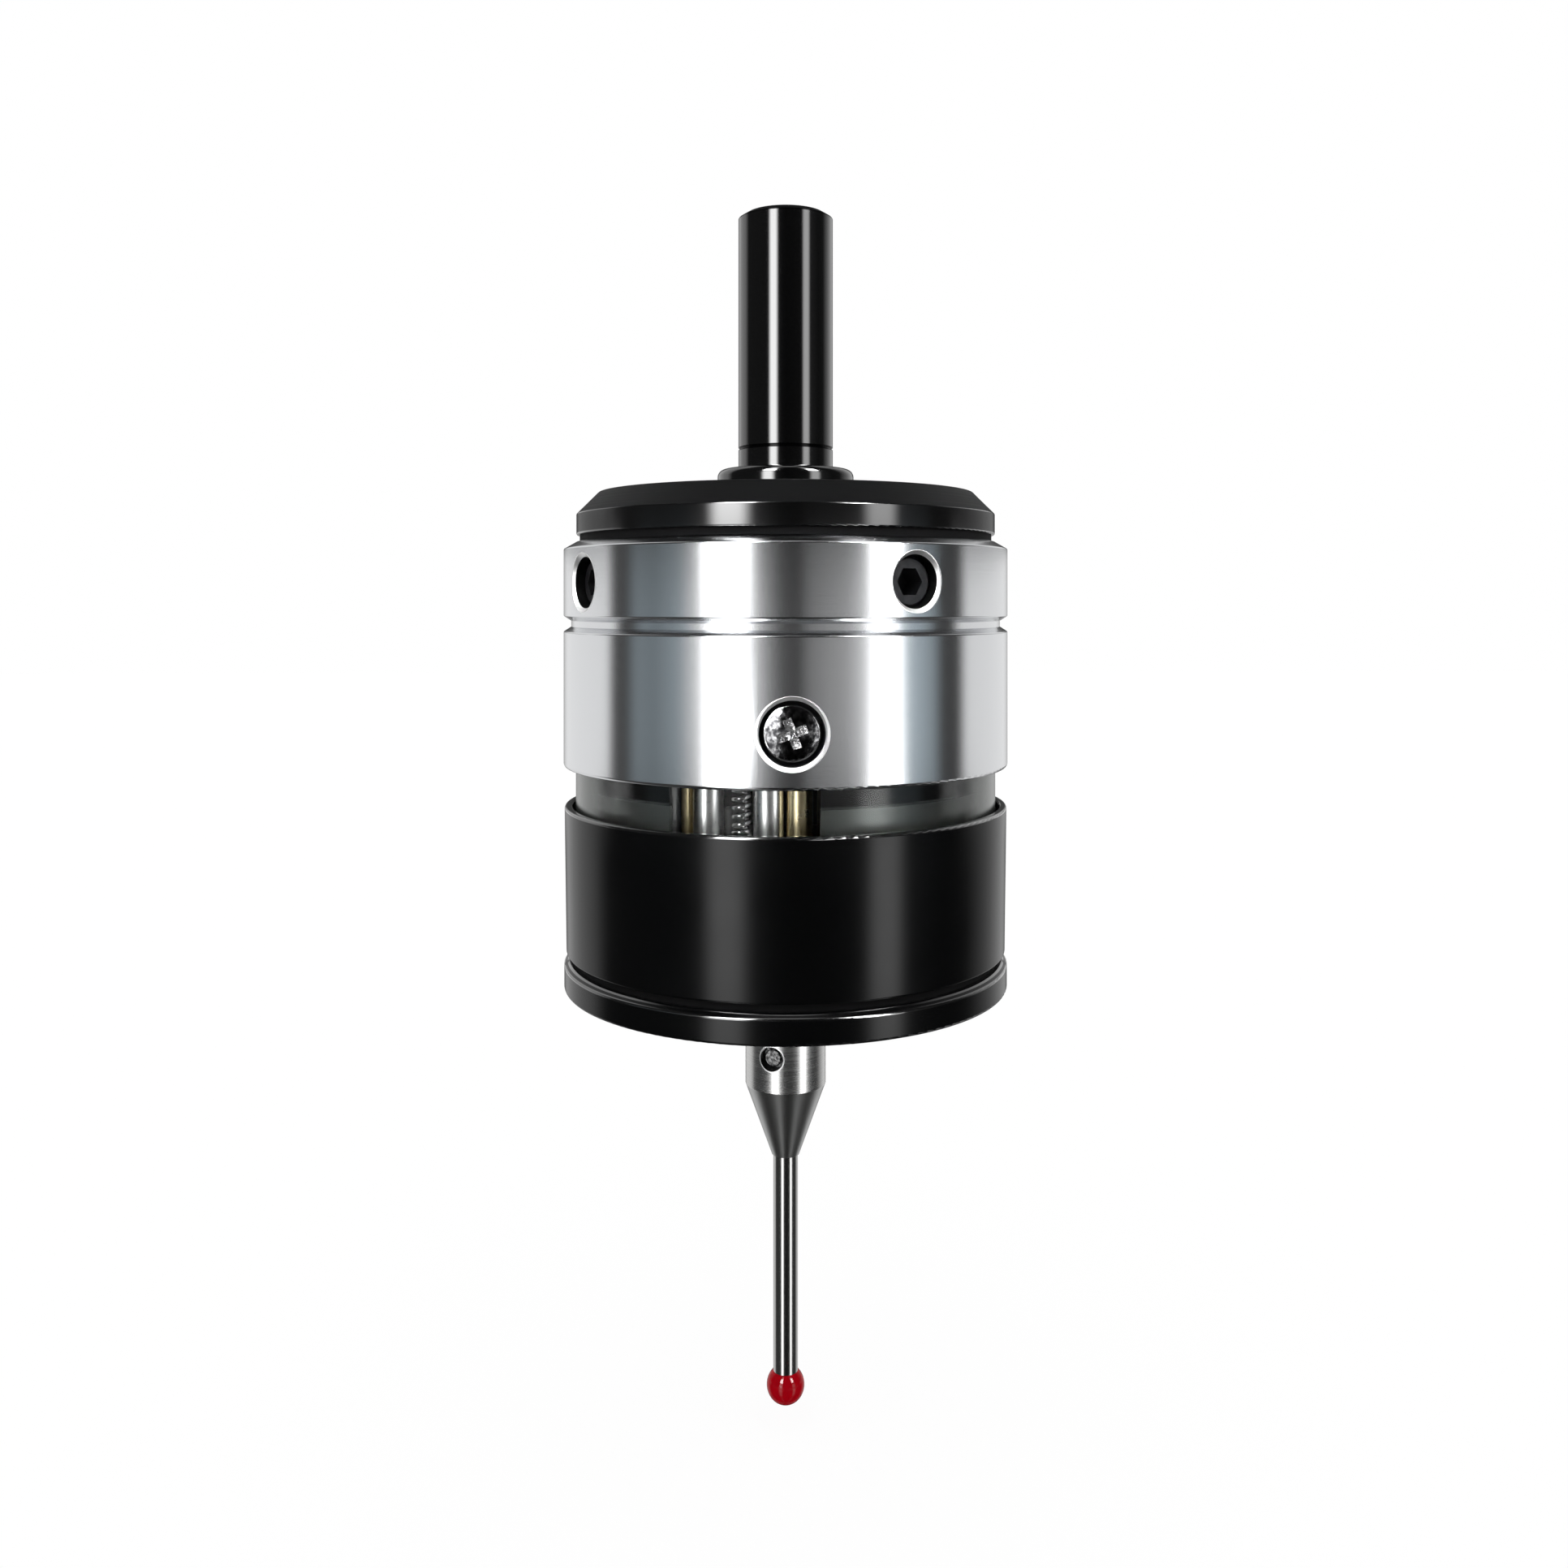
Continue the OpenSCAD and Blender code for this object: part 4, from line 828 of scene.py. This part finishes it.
def coil(start, size, points):
    line = start.add(
        "GeometryNodeCurvePrimitiveLine", None, {"Start": (0.0, 0.0, 0.0), "End": (0.0, 0.0, 1.0)}
    )
    path = start.add("GeometryNodeResampleCurve", None, {"Curve": line, "Count": points})
    turn = start.add("GeometryNodeSplineParameter") * size["Turns"]
    closed = size["Wire"] * CLOSED_PITCH
    span = size["High"] - size["Low"] - size["Wire"]
    slope = (span - closed * 2.0) / (size["Turns"] - 2.0)
    first = start.math("MINIMUM", turn, 1.0)
    last = start.math("MAXIMUM", turn - (size["Turns"] - 1.0), 0.0)
    rise = (first + last) * closed + (turn - first - last) * slope
    angle = turn * (2 * math.pi)
    helix = vector(
        start, start.math("COSINE", angle) * size["Coil Radius"],
        start.math("SINE", angle) * size["Coil Radius"], size["Low"] + size["Wire"] * 0.5 + rise,
    )
    wire_path = start.add("GeometryNodeSetPosition", None, {"Geometry": path, "Position": helix})
    wire = start.add(
        "GeometryNodeCurvePrimitiveCircle", None,
        {"Resolution": WIRE_FACETS, "Radius": size["Wire"] * 0.5},
    )
    return start.add(
        "GeometryNodeCurveToMesh", None, {"Curve": wire_path, "Profile Curve": wire, "Fill Caps": True}
    )


MAIN_SPRING = {
    "Wire": 0.7 * MM, "Coil Radius": 5.7 * MM, "Low": -41.96 * MM, "High": -33.559 * MM, "Turns": 6.0,
}
MAIN_POINTS, SMALL_POINTS = 260, 180
start, size = new_tree("main spring", MAIN_SPRING)
main_coil = coil(start, size, MAIN_POINTS)
main_spring = finished_piece("main_spring_wire", main_coil, MAIN_SPRING, "spring_steel", "main_spring")
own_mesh(main_spring)

CONTACT_SPRING = {
    "Wire": 0.4 * MM, "Coil Radius": 0.75 * MM, "Low": -36.125 * MM, "High": -29.925 * MM,
    "Turns": 8.0, "Circle": 16.6 * MM, "First Angle": math.radians(-15.92),
}
start, size = new_tree("contact springs", CONTACT_SPRING)
small_coil = on_circle(coil(start, size, SMALL_POINTS), 3, size["Circle"], size["First Angle"])
finished_piece("contact_spring_wires", small_coil, CONTACT_SPRING, "spring_steel", "contact_springs")

# %% [markdown]
# Between the board and the battery tray stand three groups of posts: two steel pillars and two brass
# standoffs each. They are turned shapes with a small chamfer at both ends, set on the same circle.

# %% Pillars and standoffs
def posts(name, sizes, finish, stands_for):
    start, size = new_tree(name, sizes)
    edge = size["Radius"] - size["Chamfer"]
    profile = [
        (0.0, size["Low"]), (edge, size["Low"]), (size["Radius"], size["Low"] + size["Chamfer"]),
        (size["Radius"], size["High"] - size["Chamfer"]), (edge, size["High"]), (0.0, size["High"]),
    ]
    post = turned(start, profile)
    sides = [
        on_circle(post, 3, size["Circle"], size["Middle Angle"] + size["Side Angle"] * side)
        for side in (-1.0, 1.0)
    ]
    return finished_piece(name, joined(sides), sizes, finish, stands_for)


GROUP_ANGLE = math.radians(-17.3)
POST_CIRCLE, POST_RADIUS, POST_OFFSET = 16.6 * MM, 1.45 * MM, 2.97 * MM
STEEL_ANGLE = math.asin(POST_OFFSET / POST_CIRCLE)
STEEL_POST = {
    "Radius": POST_RADIUS, "Chamfer": 0.15 * MM, "Low": -36.95 * MM, "High": -29.9 * MM,
    "Circle": POST_CIRCLE, "Middle Angle": GROUP_ANGLE, "Side Angle": STEEL_ANGLE,
}
BRASS_POST = {
    **STEEL_POST, "Radius": 1.25 * MM, "Low": -36.15 * MM,
    "Side Angle": STEEL_ANGLE + 2 * math.asin(POST_RADIUS / POST_CIRCLE),
}
posts("steel_pillar_posts", STEEL_POST, "post_steel", "steel_pillars")
posts("brass_standoff_posts", BRASS_POST, "brass", "brass_standoffs")

# %% [markdown]
# Three kinds of screws show. Four headless screws with a hex socket centre the plate and sit deep in
# their holes. Domed screws with a cross recess hold the sleeve, and countersunk ones hold the cover. Each
# is a turned shape with a thread: a band of many rows whose points move in and out with a saw wave that
# climbs round the axis. A boolean then cuts the socket or the cross.

# %% Screws
THREAD_ROWS = 64
SCREW_SMOOTH = 30


def threaded(start, radius, low, high, pitch, depth):
    band = start.add(
        "GeometryNodeMeshCone", {"fill_type": "NONE"},
        {"Vertices": FACETS, "Side Segments": THREAD_ROWS, "Radius Bottom": radius,
         "Radius Top": radius, "Depth": high - low},
    )
    band = moved(band, vector(start, z=low))
    x, y, z = axes_of(start.add("GeometryNodeInputPosition"))
    phase = start.math("FRACT", (z - low) / pitch - start.math("ARCTAN2", y, x) * (0.5 / math.pi))
    ridge = start.math("ABSOLUTE", phase * 2.0 - 1.0)
    ends = start.math("MINIMUM", (z - low) / pitch, (high - z) / pitch)
    fade = start.math("MINIMUM", start.math("MAXIMUM", ends, 0.0), 1.0)
    shrink = 1 - ridge * fade * (depth / radius)
    return start.add(
        "GeometryNodeSetPosition", None,
        {"Geometry": band, "Position": vector(start, x * shrink, y * shrink, z)},
    )


def screw_blank(start, before, thread, after):
    parts = [threaded(start, *thread), turned(start, before), turned(start, after)]
    return start.add(
        "GeometryNodeMergeByDistance", None, {"Geometry": joined(parts), "Distance": SCREW_WELD}
    )


def cut(shape, cutters):
    for cutter in cutters:
        shape = shape.add(
            "GeometryNodeMeshBoolean", {"operation": "DIFFERENCE", "solver": "EXACT"},
            {"Mesh 1": shape, "Mesh 2": cutter},
        )
    return shape


def radial(shape, height, reach):
    lying = moved(shape, vector(shape, z=reach))
    lying = moved(lying, turn=(math.pi / 2, 0.0, 0.0))
    return moved(lying, vector(shape, z=height))


CENTRING_SCREW = {
    "Radius": 2.47 * MM, "Length": 6.0 * MM, "Bevel": 0.7 * MM, "Pitch": 0.8 * MM,
    "Depth": 0.35 * MM, "Socket": 2.5 * MM, "Socket Depth": 2.5 * MM,
    "Height": CENTRING_HEIGHT, "Reach": 16.0 * MM, "First Angle": math.radians(30),
}
start, size = new_tree("centring screws", CENTRING_SCREW)
top_bevel = size["Bevel"] * 0.5
thread_end = size["Length"] * 0.6
blank = screw_blank(
    start,
    [(0.0, 0.0), (size["Radius"] - size["Bevel"], 0.0), (size["Radius"], size["Bevel"])],
    (size["Radius"], size["Bevel"], thread_end, size["Pitch"], size["Depth"]),
    [(size["Radius"], thread_end), (size["Radius"], size["Length"] - top_bevel),
     (size["Radius"] - top_bevel, size["Length"]), (0.0, size["Length"])],
)
hexagon = start.add(
    "GeometryNodeMeshCylinder", None,
    {"Vertices": 6, "Radius": size["Socket"] / math.sqrt(3), "Depth": size["Socket Depth"] * 2.0},
)
socketed = cut(blank, [moved(hexagon, vector(start, z=size["Length"]))])
centring = on_circle(radial(socketed, size["Height"], size["Reach"]), 4, 0.0, size["First Angle"])
finished_piece(
    "centring_screw_set", centring, CENTRING_SCREW, "black_steel", "centring_screws", SCREW_SMOOTH
)

# %% [markdown]
# The sleeve screws have a low domed head. The dome is part of a ball: its radius follows from the head's
# diameter and the height of the cap, and the rings of the profile lie on that arc. The cover's screws are
# countersunk and end flush with the cover's underside. Two crossed blocks cut the recess of each.

# %% Cross-recess screws
DOME_RINGS = 6
TIP_SHARE = 0.85
SLEEVE_TURN, COVER_TURN = math.radians(20), math.radians(35)


def cross(start, size, height, angle):
    long, wide, deep = size["Recess"], size["Recess Width"], size["Recess Depth"] * 2.0
    blocks = [
        start.add("GeometryNodeMeshCube", None, {"Size": vector(start, x, y, deep)})
        for x, y in ((long, wide), (wide, long))
    ]
    return [moved(one, vector(start, z=height), (0.0, 0.0, angle)) for one in blocks]


SLEEVE_SCREW = {
    "Radius": 1.25 * MM, "Length": 5.0 * MM, "Pitch": 0.45 * MM, "Depth": 0.2 * MM,
    "Head": 2.6 * MM, "Head Height": 1.55 * MM, "Cap": 0.54 * MM, "Recess": 2.86 * MM,
    "Recess Width": 0.83 * MM, "Recess Depth": 0.93 * MM,
    "Height": SLEEVE_SCREW_HEIGHT, "Reach": 21.25 * MM,
}
start, size = new_tree("sleeve screws", SLEEVE_SCREW)
tip = size["Length"] * -1.0
thread_start, thread_end = tip * 0.95, tip * 0.1
ball = (size["Head"] * size["Head"] + size["Cap"] * size["Cap"]) / (size["Cap"] * 2.0)
dome = []
for ring in range(DOME_RINGS + 1):
    reach = size["Head"] * (1 - ring / DOME_RINGS)
    dome.append((reach, size["Head Height"] - ball + (ball * ball - reach * reach) ** 0.5))
blank = screw_blank(
    start,
    [(0.0, tip), (size["Radius"] * TIP_SHARE, tip), (size["Radius"], thread_start)],
    (size["Radius"], thread_start, thread_end, size["Pitch"], size["Depth"]),
    [(size["Radius"], thread_end), (size["Radius"], 0.0), (size["Head"], 0.0), *dome],
)
crossed = cut(blank, cross(start, size, size["Head Height"], SLEEVE_TURN))
sleeve_set = on_circle(radial(crossed, size["Height"], size["Reach"]), 3, 0.0, 0.0)
finished_piece(
    "sleeve_screw_set", sleeve_set, SLEEVE_SCREW, "head_steel", "sleeve_screws", SCREW_SMOOTH
)

COVER_SCREW = {
    "Radius": 1.25 * MM, "Length": 6.6 * MM, "Pitch": 0.45 * MM, "Depth": 0.2 * MM,
    "Head": 2.3 * MM, "Head Height": 1.05 * MM, "Recess": 2.76 * MM, "Recess Width": 0.69 * MM,
    "Recess Depth": 0.84 * MM, "Height": -53.84 * MM, "Circle": 19.015 * MM,
    "First Angle": math.radians(60),
}
start, size = new_tree("cover screws", COVER_SCREW)
thread_end = size["Length"] * 0.96
blank = screw_blank(
    start,
    [(0.0, 0.0), (size["Head"], 0.0), (size["Radius"], size["Head Height"])],
    (size["Radius"], size["Head Height"], thread_end, size["Pitch"], size["Depth"]),
    [(size["Radius"], thread_end), (size["Radius"] * TIP_SHARE, size["Length"]),
     (0.0, size["Length"])],
)
crossed = cut(blank, cross(start, size, 0.0, COVER_TURN))
crossed = moved(crossed, vector(start, z=size["Height"]))
cover_set = on_circle(crossed, 3, size["Circle"], size["First Angle"])
finished_piece(
    "cover_screw_set", cover_set, COVER_SCREW, "black_steel", "cover_screws", SCREW_SMOOTH
)

# %% [markdown]
# The lock screw clamps the stem in the stylus base. It sits deep in its cross hole, and its blasted end
# is narrower than the hole, so a gap shows all round it, dark because the hole is painted dark, a painted
# shade.

# %% Lock screw
LOCK_SCREW = {
    "Radius": 1.23 * MM, "Length": 2.45 * MM, "Pitch": 0.4 * MM, "Depth": 0.15 * MM,
    "End Radius": 0.9 * MM, "End Length": 0.9 * MM, "Round": 0.12 * MM, "Height": LOCK_HEIGHT,
    "Reach": 1.3 * MM, "Angle": LOCK_ANGLE,
}
start, size = new_tree("lock screw", LOCK_SCREW)
neck = size["Length"] - size["End Length"]
thread_start, thread_end = size["Round"] * 2.0, neck - size["Round"]
blank = screw_blank(
    start,
    [(0.0, 0.0), (size["Radius"] * 0.8, 0.0), (size["Radius"], thread_start)],
    (size["Radius"], thread_start, thread_end, size["Pitch"], size["Depth"]),
    [(size["Radius"], thread_end), (size["Radius"], neck), (size["End Radius"], neck),
     (size["End Radius"], size["Length"] - size["Round"]),
     (size["End Radius"] - size["Round"], size["Length"]), (0.0, size["Length"])],
)
lock = on_circle(radial(blank, size["Height"], size["Reach"]), 1, 0.0, size["Angle"])
finished_piece(
    "lock_screw_end", lock, LOCK_SCREW, "blasted_steel", "lock_screw", SCREW_SMOOTH, "stylus"
)
